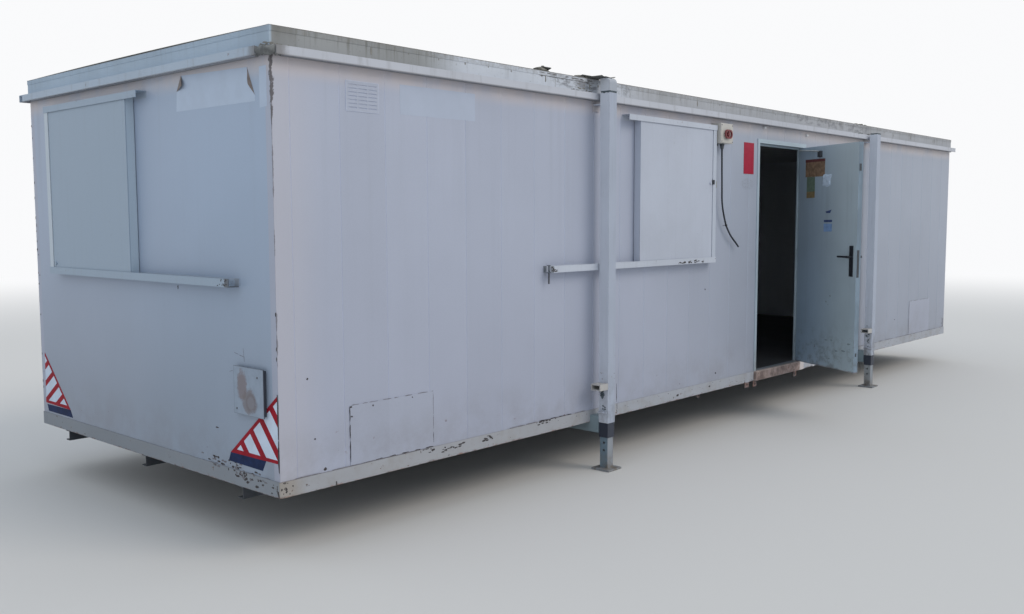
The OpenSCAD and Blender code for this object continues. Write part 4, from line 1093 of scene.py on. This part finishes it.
def make_roof_debris():
    """Clumps of moss and scraps of felt along the front edge of the roof and on the legs' caps."""
    rng = random.Random(5)
    bm = bmesh.new()
    clumps = (
        (2.060, 0.018, 2.716, 0.040, 0.014), (2.100, 0.028, 2.722, 0.026, 0.024),
        (2.140, 0.035, 2.712, 0.035, 0.010), (2.475, 0.030, 2.714, 0.045, 0.009),
        (2.540, 0.020, 2.712, 0.035, 0.008), (6.98, 0.010, 2.706, 0.03, 0.008),
        (7.10, 0.015, 2.708, 0.04, 0.010), (7.20, 0.010, 2.706, 0.03, 0.008),
    )
    for number, (along, back, up, size, high) in enumerate(clumps):
        add_lump(bm, at_front(along, -back, up), (size, size * 0.6, high), number + 1)
    for number in range(46):
        along = rng.uniform(0.2, LENGTH - 0.2)
        size = rng.uniform(0.008, 0.022)
        place = (at_front, at_rear)[number % 2]
        spot = place(along, -rng.uniform(0.02, 0.25), FASCIA_TOP + 0.006)
        add_lump(bm, spot, (size, size * 0.8, size * 0.35), number + 20, 1)
    new_object("moss_clumps", bm, "moss", smooth=True)

    bm = bmesh.new()
    for number, along in enumerate((6.90, 6.96, 7.02, 7.08, 7.24, 7.30)):
        size = rng.uniform(0.014, 0.03)
        spot = at_front(along, 0.022, rng.uniform(2.606, 2.614))
        add_lump(bm, spot, (size, 0.014, size * 0.45), number + 70, 1)
    for number, along in enumerate((2.34, 2.40, 2.45, 2.50, 2.54, 2.70, 2.74)):
        size = rng.uniform(0.010, 0.026)
        add_lump(bm, at_front(along, 0.022, 2.609), (size, 0.014, size * 0.4), number + 80, 1)
    new_object("gutter_debris", bm, "corner_dirt", smooth=True)

    bm = bmesh.new()
    rows = []
    along, reach = 2.625, 0.125
    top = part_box("leg_caps")[1].z
    for i in range(9):
        t = i / 8
        middle = along - 0.02 + (t - 0.5) * reach * 1.25
        up = top + 0.0015 + 0.004 * math.sin(t * 5) ** 2 + (0.008 if i in (0, 8) else 0)
        ragged = 0.012 * noise.noise(Vector((t * 4, along, 0)))
        corners = ((-0.045, 0.002), (0.130 + ragged, 0.001), (0.130 + ragged, -0.0015), (-0.045, -0.0005))
        rows.append([bm.verts.new(at_front(middle, out, up + lift)) for out, lift in corners])
    add_skin(bm, rows)
    new_object("felt_scrap_first_leg", bm, "felt_scrap")


def make_corner_dirt():
    """Dirty ends of the two drip rails, and the dirt packed round the near corner between them."""
    build(
        "drip_rail_ends", "drip_rail_paint",
        (add_bevel_plate, at_front, (0.002, 2.5595), (0.0515, 2.6045), 0.040, 0.0517, 0.0004),
        (add_bevel_plate, at_end, (0.060, 2.5595), (0.1015, 2.6045), 0.040, 0.0517, 0.0004),
    )
    bm = bmesh.new()
    rows = []
    first, last, count = -0.112, 0.060, 34
    for i in range(count + 1):
        t = first + (last - first) * i / count
        turn = math.radians(90) * min(1, max(0, (t + 0.015) / 0.030))
        along = Vector((LEFT + max(0, t - 0.015), FRONT + max(0, -t - 0.015), 0))
        ahead = Vector((-math.cos(turn), -math.sin(turn), 0))
        ring = []
        for k in range(10):
            angle = 2 * math.pi * k / 10
            rough = 1 + 0.7 * noise.noise(Vector((t * 70, math.cos(angle) * 1.5, math.sin(angle) * 1.5)))
            out = 0.024 + 0.021 * math.cos(angle) * rough
            up = 2.582 + 0.022 * math.sin(angle) * rough
            ring.append(bm.verts.new(along + ahead * out + Vector((0, 0, up))))
        rows.append(ring)
    add_skin(bm, rows)
    new_object("corner_dirt", bm, "corner_dirt", smooth=True)
    marks = Marks(23, "felt_drip")
    rng = marks.rng
    for _ in range(22):
        along = abs(rng.gauss(0, 0.05))
        place = at_end if rng.random() < 0.6 else at_front
        marks.scatter("felt_drip", place, 1, lambda: along - 0.005, lambda: 2.609 + abs(rng.gauss(0, 0.006)),
                      (0.012, 0.035), (0.006, 0.012), ON_FASCIA)
    marks.finish("felt_drip", "corner_smears")


def make_rail_ends():
    """Closing plates on the open ends of the side base rails."""
    build("base_rail_end_plates", "base_rail_paint", *(
        (add_bevel_plate, place, (start, 0.328), (start + 0.054, 0.4115), -0.003, 0.0048, 0.0008)
        for place in (at_end, at_far_end) for start in (-0.003, WIDTH - 0.051)
    ))


def make_leg_dirt():
    """Dark strips filling the slots under the caps, painted shade with dirt, and painted shadow with grime
    under the lugs and round a pin on the legs' left faces.
    """
    # Patches of painted shadow, with grime, under the lugs and round a pin.
    grime = (
        ((0.106, 0.538, 0.020, 16, 1.5), (0.120, 0.432, 0.012, 9, 0.9)),
        ((0.115, 0.50, 0.06, 14, 1.0),),
    )
    for name, place in (("front", at_front), ("rear", at_rear)):
        marks = Marks(31 + len(name), "leg_shade_and_grime")
        bm, rng = marks.meshes["leg_shade_and_grime"], marks.rng
        for start, patches in zip(LEG_STARTS, grime):
            def side(along, off, up):
                return place(start - off, along, up)

            def foot(along):
                return CAPS_LOW + 0.002 + 0.006 * noise.noise(Vector((along * 60, 3, start)))

            # Dark strips in the slots under the caps: painted shade, with dirt.
            add_ragged(bm, place, start + 0.002, start + 0.078, 0.1505, 0.0045, 2.617, foot, 0.006)
            add_ragged(bm, side, 0.080, 0.150, -0.003, 0.0040, 2.617, foot, 0.006)
            for off, middle, spread, number, size in patches:
                for _ in range(number):
                    along, up = min(0.128, max(0.102, rng.gauss(off, 0.010))), rng.gauss(middle, spread)
                    wide, high = size * rng.uniform(0.014, 0.032), size * rng.uniform(0.008, 0.026)
                    marks.chip("leg_shade_and_grime", side, along, up, wide, high)
        marks.finish("leg_shade_and_grime", f"leg_shade_and_grime_{name}")


make_roof_edge()
make_roof_debris()
make_corner_dirt()
make_rail_ends()
make_leg_dirt()


# Marks on the walls and rails
RAIL_LINE = FLOOR + 0.002
PATCH_LOW, PATCH_HIGH = (0.453, 0.416), (1.070, 0.746)

# Flecks where the photograph has them: along, up, width and height
WALL_CHIPS = (
    (0.180, 0.926, 0.014, 0.014), (0.221, 0.601, 0.016, 0.016), (0.284, 0.428, 0.030, 0.022),
    (0.459, 0.738, 0.020, 0.014), (0.466, 0.684, 0.018, 0.014), (0.614, 0.724, 0.018, 0.014),
    (0.906, 0.731, 0.014, 0.010), (2.801, 0.785, 0.02, 0.03), (4.284, 0.472, 0.03, 0.02),
    (4.10, 1.18, 0.02, 0.02), (5.145, 2.555, 0.012, 0.008), (8.15, 0.62, 0.02, 0.02),
)
# Groups of flecks on the rail: middle, level, spread and number
RAIL_GROUPS = (
    (1.20, 0.383, 0.06, 16), (1.54, 0.381, 0.04, 10), (1.02, 0.400, 0.03, 6), (2.08, 0.405, 0.07, 12),
)
RAIL_CHIPS = ((0.352, 0.338, 0.012, 0.03), (3.703, 0.362, 0.04, 0.02), (4.185, 0.372, 0.04, 0.02))
END_SCRATCHES = (((0.30, 1.03), (0.40, 1.05)), ((0.30, 1.00), (0.31, 1.09)), ((0.41, 0.95), (0.45, 0.94)))
END_CHIPS = ((0.06, 0.375, 0.03, 0.012), (0.585, 0.616, 0.045, 0.010), (0.958, 1.372, 0.012, 0.03))

# Broken lines: material, face, start, end, distance out, width, length of a dash and gap
PATCH_LINES = (
    ("mark_dark", at_front, (PATCH_LOW[0], 0.43), (PATCH_LOW[0], 0.735), ON_PATCH, 0.005, 0.12, 0.01),
    ("mark_dark", at_front, (PATCH_HIGH[0], 0.42), (PATCH_HIGH[0], 0.50), ON_PATCH, 0.004, 0.05, 0.02),
    ("mark_grey", at_front, (PATCH_HIGH[0], 0.50), (PATCH_HIGH[0], 0.74), ON_PATCH, 0.003, 0.08, 0.02),
    ("mark_grey", at_front, (PATCH_LOW[0], PATCH_HIGH[1]), PATCH_HIGH, ON_PATCH, 0.004, 0.05, 0.03),
    ("mark_dark", at_front, (0.62, PATCH_LOW[1]), (PATCH_HIGH[0], PATCH_LOW[1]), ON_PATCH, 0.007, 0.05, 0.03),
    ("mark_faint", at_front, (8.58, 0.800), (9.18, 0.800), ON_PATCH, 0.006, 0.12, 0.02),
    ("mark_faint", at_front, (8.582, 0.43), (8.582, 0.80), ON_PATCH, 0.006, 0.12, 0.02),
)
JOINT_LINES = (
    ("mark_grey", at_front, (0.06, RAIL_LINE), (0.95, RAIL_LINE), ON_RAIL, 0.004, 0.16, 0.05),
    ("mark_grey", at_front, (1.72, RAIL_LINE), (2.56, RAIL_LINE), ON_RAIL, 0.006, 0.10, 0.03),
    ("mark_dark", at_front, (2.896, 0.418), (2.896, 0.560), 0.0, 0.007, 0.10, 0.006),
    ("mark_dark", at_front, (2.896, 0.336), (2.897, 0.410), ON_RAIL, 0.006, 0.06, 0.006),
    ("mark_dark", at_end, (0.0065, 0.455), (0.0065, 0.865), 0.0014, 0.010, 0.16, 0.004),
    ("mark_grey", at_front, (5.90, RAIL_LINE), (LENGTH - 0.05, RAIL_LINE), ON_RAIL, 0.004, 0.16, 0.05),
    ("mark_grey", at_rear, (0.06, RAIL_LINE), (LENGTH - 0.05, RAIL_LINE), ON_RAIL, 0.004, 0.16, 0.05),
    ("mark_dark", at_front, (2.02, FLOOR + 0.003), (2.40, FLOOR + 0.003), ON_RAIL, 0.006, 0.06, 0.02),
    ("mark_grey", at_end, (0.05, FLOOR + 0.001), (0.75, FLOOR + 0.001), ON_RAIL, 0.003, 0.10, 0.05),
    ("mark_grey", at_far_end, (0.05, FLOOR + 0.001), (0.75, FLOOR + 0.001), ON_RAIL, 0.003, 0.10, 0.05),
)


def make_marks():
    """Chips, scratches and dirty joints where the photograph has them, and a few on every other side."""
    marks = Marks(41, "mark_dark", "mark_grey", "mark_faint")
    rng = marks.rng

    def between(low, high):
        return lambda: rng.uniform(low, high)

    def near(spread):
        """Draws distances from an edge, most of them small."""
        return lambda: abs(rng.gauss(0, spread))

    for along, up, width, height in WALL_CHIPS:
        on_patch = PATCH_LOW[0] < along < PATCH_HIGH[0] and up < PATCH_HIGH[1]
        marks.chip("mark_dark", at_front, along, up, width, height, ON_PATCH if on_patch else 0.0)
    for chip in RAIL_CHIPS:
        marks.chip("mark_dark", at_front, *chip, ON_RAIL)
    for middle, level, spread, number in RAIL_GROUPS:
        marks.scatter("mark_dark", at_front, number, lambda: rng.gauss(middle, spread),
                      lambda: min(0.408, rng.gauss(level, 0.008)), (0.012, 0.044), (0.005, 0.016), ON_RAIL)
    for _ in range(14):
        marks.scatter("mark_dark", at_front, 1, near(0.05), between(0.340, 0.406),
                      (0.006, 0.020), (0.005, 0.018), ON_RAIL)
        marks.scatter("mark_dark", at_end, 1, near(0.012), between(0.335, 0.40),
                      (0.006, 0.018), (0.010, 0.026), 0.0042)
    for line in PATCH_LINES:
        marks.line(*line)
    marks.scatter("mark_faint", at_front, 16, lambda: LENGTH - abs(rng.gauss(0, 0.03)) - 0.01,
                  between(0.42, 0.52), (0.014, 0.04), (0.02, 0.05))
    for line in JOINT_LINES:
        marks.line(*line)
    for middle, low, number in ((0.33, 0.395, 34), (0.55, 0.432, 26), (0.16, 0.375, 12)):
        for _ in range(number):
            along = rng.gauss(middle, 0.09)
            up = min(0.45, rng.gauss(low, 0.018))
            shade = rng.choice(("mark_dark", "mark_grey"))
            width, height = rng.uniform(0.014, 0.045), rng.uniform(0.007, 0.020)
            marks.chip(shade, at_end, max(0.05, along), up, width, height, ON_RAIL if up < FLOOR else 0.0)
    for along, up, width, height in END_CHIPS:
        marks.chip("mark_dark", at_end, along, up, width, height, ON_RAIL if up < FLOOR else 0.0)
    for up in (1.274, 1.098, 1.047, 0.80):
        marks.chip("mark_dark", at_end, 0.006, up, 0.010, 0.030)
    for start, end in END_SCRATCHES:
        marks.line("mark_grey", at_end, start, end, 0.0, 0.003, 0.05, 0.01)
    marks.scatter("mark_dark", at_end, 22, lambda: WIDTH - abs(rng.gauss(0, 0.012)), between(0.45, 2.4),
                  (0.006, 0.014), (0.010, 0.035))
    for place, length in ((at_rear, LENGTH), (at_far_end, WIDTH)):
        marks.scatter("mark_dark", place, int(length * 5), between(0.1, length - 0.1), between(0.345, 0.405),
                      (0.006, 0.024), (0.003, 0.009), ON_RAIL)
    marks.scatter("mark_dark", at_front, 60,
                  lambda: rng.choice((rng.uniform(1.7, 4.9), rng.uniform(5.9, 9.7))),
                  between(0.345, 0.408), (0.005, 0.018), (0.003, 0.007), ON_RAIL)
    for start, reach, number in ((2.082, 0.055, 12), (3.60, 0.10, 12), (3.72, 0.24, 16)):
        marks.scatter("mark_dark", at_front, number, lambda: start + rng.uniform(0, reach),
                      lambda: 1.408 + abs(rng.gauss(0, 0.009)), (0.012, 0.045), (0.006, 0.016), ON_GUIDE)
    marks.scatter("mark_dark", at_end, 16, lambda: 0.342 + abs(rng.gauss(0, 0.05)),
                  lambda: 1.406 + rng.choice((0, 0.022)) + rng.uniform(0, 0.012),
                  (0.006, 0.02), (0.004, 0.010), ON_GUIDE)
    for shade in ("dark", "grey", "faint"):
        marks.finish(f"mark_{shade}", f"marks_{shade}")


# Vinyl sheets left bare, with peeled corners
FILM = 0.0005


def add_peel(bm, place, start, end, tip, lift=0.018):
    """Corner of a sheet that has folded over along a line and curls away from the wall."""
    rows = []
    for i in range(7):
        t = i / 6
        out = 0.0008 + lift * math.sin(t * math.pi / 2) ** 2
        left = [start[k] + (tip[k] - start[k]) * t * 0.97 for k in (0, 1)]
        right = [end[k] + (tip[k] - end[k]) * t * 0.97 for k in (0, 1)]
        ring = ((left, 0), (right, 0), (right, 0.0006), (left, 0.0006))
        rows.append([bm.verts.new(place(p[0], out + shift, p[1])) for p, shift in ring])
    add_skin(bm, rows)


def make_bare_sheets():
    wide = [(0.139, 2.346), (0.139, 2.376), (0.204, 2.521), (0.851, 2.541), (0.902, 2.458), (0.912, 2.350)]
    narrow = [(0.037, 2.314), (0.037, 2.514), (0.098, 2.512), (0.100, 2.310)]
    front = [(0.844, 2.334), (1.440, 2.338), (1.440, 2.500), (0.842, 2.498)]
    build(
        "bare_vinyl_end", "vinyl_bare_end",
        (add_plate, at_end, wide, 0, FILM), (add_plate, at_end, narrow, 0, FILM),
    )
    build("bare_vinyl_front", "vinyl_bare_front", (add_plate, at_front, front, 0, FILM))
    build(
        "peeled_corners", "vinyl_back",
        (add_peel, at_end, (0.851, 2.541), (0.902, 2.458), (0.812, 2.482)),
        (add_peel, at_end, (0.139, 2.376), (0.204, 2.521), (0.186, 2.436), 0.010),
    )


# Striped triangles on the left end
BORDER = 0.020


def make_stripes(name, corners, foot, flip, slope, level, pitch, share):
    """Red and white stripes inside a triangle with two red borders, over a dark blue band."""
    def turned(outline):
        return [(flip - along if flip else along, up) for along, up in outline]

    build(f"stripes_white_{name}", "sticker_white", (add_plate, at_end, turned(corners), 0, FILM))
    top, right, left = corners
    red = bmesh.new()
    for k in range(-8, 9):
        low = level + k * pitch
        stripe = clip(list(corners), (0, low), (-slope, 1))
        stripe = clip(stripe, (0, low + share * pitch), (slope, -1)) if len(stripe) > 2 else []
        if len(stripe) > 2:
            add_plate(red, at_end, turned(stripe), 0.0003, 0.0009)
    slant = Vector((left[0] - top[0], left[1] - top[1])).normalized()
    inward = Vector((slant.y, -slant.x))
    if inward.dot(Vector((right[0] - top[0], right[1] - top[1]))) < 0:
        inward = -inward
    borders = ((top, inward, BORDER, 0.0011), (right, Vector((0, 1)), BORDER * 0.9, 0.0013))
    for point, side, size, lift in borders:
        edge = (point[0] + side.x * size, point[1] + side.y * size)
        border = clip(list(corners), edge, (-side.x, -side.y))
        if len(border) > 2:
            add_plate(red, at_end, turned(border), lift - 0.0008, lift)
    new_object(f"stripes_red_{name}", red, "sticker_red")
    build(f"stripes_band_{name}", "sticker_blue", (add_plate, at_end, turned(foot), 0.0002, 0.0007))


NEAR_CORNERS = ((0.007, 0.859), (0.014, 0.505), (0.455, 0.500))
NEAR_FOOT = [(0.119, 0.507), (0.455, 0.500), (0.477, 0.450), (0.154, 0.446)]
FAR_CORNERS = ((0.052, 0.836), (0.042, 0.480), (0.430, 0.474))
FAR_FOOT = [(0.060, 0.470), (0.430, 0.474), (0.462, 0.424), (0.080, 0.424)]
make_marks()
make_bare_sheets()
make_stripes("near", NEAR_CORNERS, NEAR_FOOT, 0, 1.15, 0.144, 0.18, 0.34)
make_stripes("far", FAR_CORNERS, FAR_FOOT, WIDTH, 0.65, 0.680, 0.118, 0.36)


# Fittings on the front wall
def make_fittings():
    left, right = ISOLATOR_LOW.x - LEFT, ISOLATOR_HIGH.x - LEFT
    low, high = ISOLATOR_LOW.z, ISOLATOR_HIGH.z
    face = FRONT - ISOLATOR_LOW.y
    label = [(4.231, 2.001), (4.258, 2.003), (4.257, 2.057), (4.232, 2.056)]
    build("red_plate", "plate_red",
          (add_bevel_plate, at_front, (4.693, 2.132), (4.865, 2.397), -0.001, 0.0025, 0.001))
    build("olive_label", "label_olive", (add_plate, at_front, label, 0, 0.0006))
    knobs = []
    for along, up in ((5.035, 2.540), (5.850, 2.522)):
        corners = (along - 0.014, up - 0.010), (along + 0.014, up + 0.010)
        knobs.append((add_bevel_plate, at_front, *corners, -0.001, 0.020, 0.004))
    build("pale_knobs", "pale_knob", *knobs)
    build("shutter_catch", "closer_dark",
          (add_bevel_plate, at_front, (4.086, 2.024), (4.106, 2.060), 0.060, 0.074, 0.003))
    lid_low, lid_high = (left + 0.002, low + 0.002), (right - 0.002, high - 0.002)
    build("isolator_lid", "isolator_plastic",
          (add_bevel_plate, at_front, lid_low, lid_high, face - 0.001, face + 0.004, 0.003))
    lid_screws = [
        (add_dome, at_front(along, face + 0.0035, up), (0, -1, 0), 0.006, 0.0025)
        for along in (left + 0.014, right - 0.014) for up in (low + 0.014, high - 0.014)
    ]
    inlet_screws = [
        (add_dome, at_end(along, 0.0235, up), (-1, 0, 0), 0.007, 0.003)
        for along, up in ((0.150, 0.939), (0.345, 0.758))
    ]
    build("cover_screws", "screw_steel", *lid_screws, *inlet_screws, smooth=True)
    bm = bmesh.new()
    spot = at_front(left + 0.045, 0.030, low + 0.002)
    turns = [math.pi * k / 6 for k in range(12)]
    add_skin(bm, [
        [bm.verts.new(spot + Vector((size * math.cos(t), size * math.sin(t), -drop))) for t in turns]
        for drop, size in ((0, 0.011), (0.008, 0.011), (0.009, 0.0085), (0.022, 0.0085), (0.024, 0.006))
    ])
    new_object("second_gland", bm, "gland_grey")


# Papers and fittings on the inner face of the open door
# Each sheet's name, material, thickness and outline
SHEETS = (
    ("door_sheet", "paper_brown", 0.0010, [(0.096, 2.130), (0.380, 2.128), (0.381, 2.262), (0.096, 2.262)]),
    ("door_sheet_head", "paper_red", 0.0014,
     [(0.094, 2.262), (0.382, 2.262), (0.382, 2.286), (0.094, 2.288)]),
    ("door_strip", "paper_green", 0.0008, [(0.118, 1.995), (0.240, 1.997), (0.238, 2.128), (0.117, 2.130)]),
    ("door_strip_foot", "paper_yellow", 0.0010,
     [(0.118, 1.938), (0.240, 1.940), (0.240, 1.997), (0.118, 1.995)]),
    ("door_slip", "paper_blue", 0.0006, [(0.384, 1.634), (0.498, 1.636), (0.500, 1.705), (0.381, 1.706)]),
    ("door_slip_bar", "ink_blue", 0.0008, [(0.384, 1.718), (0.500, 1.720), (0.500, 1.740), (0.384, 1.739)]),
    ("door_slip_head", "ink_blue", 0.0006, [(0.420, 1.800), (0.470, 1.800), (0.490, 1.830), (0.400, 1.812)]),
)


def make_crumpled_paper():
    bm = bmesh.new()
    rows = []
    centre = Vector((0.412, 2.092))
    for i in range(9):
        row = []
        for k in range(9):
            along = 0.342 + 0.140 * i / 8
            up = 2.035 + 0.112 * k / 8
            wave = 0.008 + 0.007 * noise.noise(Vector((along * 30, up * 30, 2)))
            shrink = 0.9 + 0.35 * noise.noise(Vector((along * 14, up * 14, 7)))
            point = centre + (Vector((along, up)) - centre) * shrink
            out = max(0.001, wave) if 0 < i < 8 and 0 < k < 8 else 0.0008
            row.append(bm.verts.new(at_leaf(point.x, out, point.y)))
        rows.append(row)
    for low, high in zip(rows, rows[1:]):
        for k in range(8):
            bm.faces.new((low[k], low[k + 1], high[k + 1], high[k]))
    outer = rows[0] + [rows[i][8] for i in range(1, 9)]
    outer += [rows[8][k] for k in range(7, -1, -1)] + [rows[i][0] for i in range(7, 0, -1)]
    bm.faces.new(list(reversed(outer)))
    new_object("door_crumpled_paper", bm, "paper_white", body="door")


def make_door_pieces():
    for name, material, thick, outline in SHEETS:
        build(name, material, (add_plate, at_leaf, outline, 0, thick), body="door")
    make_crumpled_paper()
    build("door_closer", "closer_dark",
          (add_bevel_plate, at_leaf, (0.298, 2.300), (0.340, 2.356), -0.001, 0.026, 0.004), body="door")
    arm = ((0.318, 2.352), (0.22, 2.362), (0.12, 2.370), (0.03, 2.376))
    arm = [at_leaf(along, 0.022 + 0.012 * (0.32 - along), up) for along, up in arm]
    build("door_closer_arm", "closer_arm", (add_tube, arm, 0.006, 10), body="door")
    edge_plates = ((1.245, 1.480, 0.006, 0.030), (2.155, 2.215, 0.008, 0.030), (0.560, 0.590, 0.014, 0.028))
    build("leaf_edge_plates", "closer_dark", *(
        (add_bevel_plate, at_leaf_edge, (inner, low), (outer, high), -0.001, 0.0012, 0.0008)
        for low, high, inner, outer in edge_plates
    ), body="door")
    marks = Marks(61, "leaf_scuff")
    rng = marks.rng
    for along, up, size in ((0.442, 1.009, 0.030), (0.498, 1.063, 0.022), (0.470, 0.985, 0.014)):
        marks.chip("leaf_scuff", at_leaf, along, up, size, size)
    marks.scatter("leaf_scuff", at_leaf, 9, lambda: rng.gauss(0.55, 0.12),
                  lambda: 0.50 + abs(rng.gauss(0, 0.10)), (0.02, 0.08), (0.008, 0.03))
    marks.finish("leaf_scuff", "door_scuffs", body="door")


def make_rail_bolts():
    """Pale bolt ends on the base rail by the two ends of the sill."""
    build(
        "rail_bolts", "pale_knob",
        (add_dome, at_front(6.096, 0.0035, 0.343), (0, -1, 0), 0.020, 0.016, 14),
        (add_dome, at_front(4.985, 0.0035, 0.352), (0, -1, 0), 0.016, 0.010, 14),
        smooth=True,
    )


make_fittings()
make_door_pieces()
make_rail_bolts()


# Stage
SKY_STRENGTH = 0.86
SUN_STRENGTH = 0.9
SUN_FROM = (0.35, -0.8, 0.75)
BACKDROP = (0.955, 0.96, 0.972)
FLOOR_TONE = (0.62, 0.61, 0.60)


def make_world():
    """Even pale blue sky light, and a plain backdrop for the camera, for gloss and through glass."""
    world = bpy.data.worlds.new("world")
    bpy.context.scene.world = world
    world.use_nodes = True
    tree = world.node_tree
    tree.nodes.clear()
    output = tree.nodes.new("ShaderNodeOutputWorld")
    rays = tree.nodes.new("ShaderNodeLightPath")
    sky = tree.nodes.new("ShaderNodeBackground")
    sky.inputs["Color"].default_value = (0.84, 0.92, 1.0, 1)
    sky.inputs["Strength"].default_value = SKY_STRENGTH
    backdrop = tree.nodes.new("ShaderNodeBackground")
    backdrop.inputs["Color"].default_value = (*BACKDROP, 1)
    seen = rays.outputs["Is Camera Ray"]
    for name in ("Is Glossy Ray", "Is Transmission Ray"):
        either = tree.nodes.new("ShaderNodeMath")
        either.operation = "MAXIMUM"
        tree.links.new(seen, either.inputs[0])
        tree.links.new(rays.outputs[name], either.inputs[1])
        seen = either.outputs[0]
    blend = tree.nodes.new("ShaderNodeMixShader")
    tree.links.new(seen, blend.inputs[0])
    tree.links.new(sky.outputs[0], blend.inputs[1])
    tree.links.new(backdrop.outputs[0], blend.inputs[2])
    tree.links.new(blend.outputs[0], output.inputs["Surface"])


def make_lamp():
    sun = bpy.data.lights.new("soft_sun", "SUN")
    sun.energy = SUN_STRENGTH
    sun.angle = math.radians(30)
    sun.color = (1.0, 0.90, 0.78)
    lamp = bpy.data.objects.new("soft_sun", sun)
    bpy.context.scene.collection.objects.link(lamp)
    lamp.rotation_euler = Vector(SUN_FROM).to_track_quat("Z", "Y").to_euler()


def make_floor():
    """Pale floor that fades into the backdrop far from the cabin."""
    bm = bmesh.new()
    bmesh.ops.create_circle(bm, cap_ends=True, segments=96, radius=90)
    mesh = bpy.data.meshes.new("floor")
    bm.to_mesh(mesh)
    bm.free()
    floor = bpy.data.objects.new("floor", mesh)
    bpy.context.scene.collection.objects.link(floor)
    floor.location.z = -0.002
    m = Recipe("floor_pale")
    far = m.math("SQRT", m.math("ADD", m.times(m.x, m.x), m.times(m.y, m.y)))
    m.color = FLOOR_TONE
    m.finish(0.9, Specular_IOR_Level=0.2)
    glow = m.add("ShaderNodeEmission")
    glow.inputs["Color"].default_value = (*BACKDROP, 1)
    rays = m.add("ShaderNodeLightPath")
    join = m.add("ShaderNodeMixShader")
    m.feed(join.inputs[0], m.times(m.step(far, 9, 26), rays.outputs["Is Camera Ray"]))
    m.tree.links.new(m.shader.outputs[0], join.inputs[1])
    m.tree.links.new(glow.outputs[0], join.inputs[2])
    m.tree.links.new(join.outputs[0], m.output.inputs["Surface"])
    mesh.materials.append(m.material)


bpy.context.scene.view_settings.view_transform = "Standard"
make_world()
make_lamp()
make_floor()
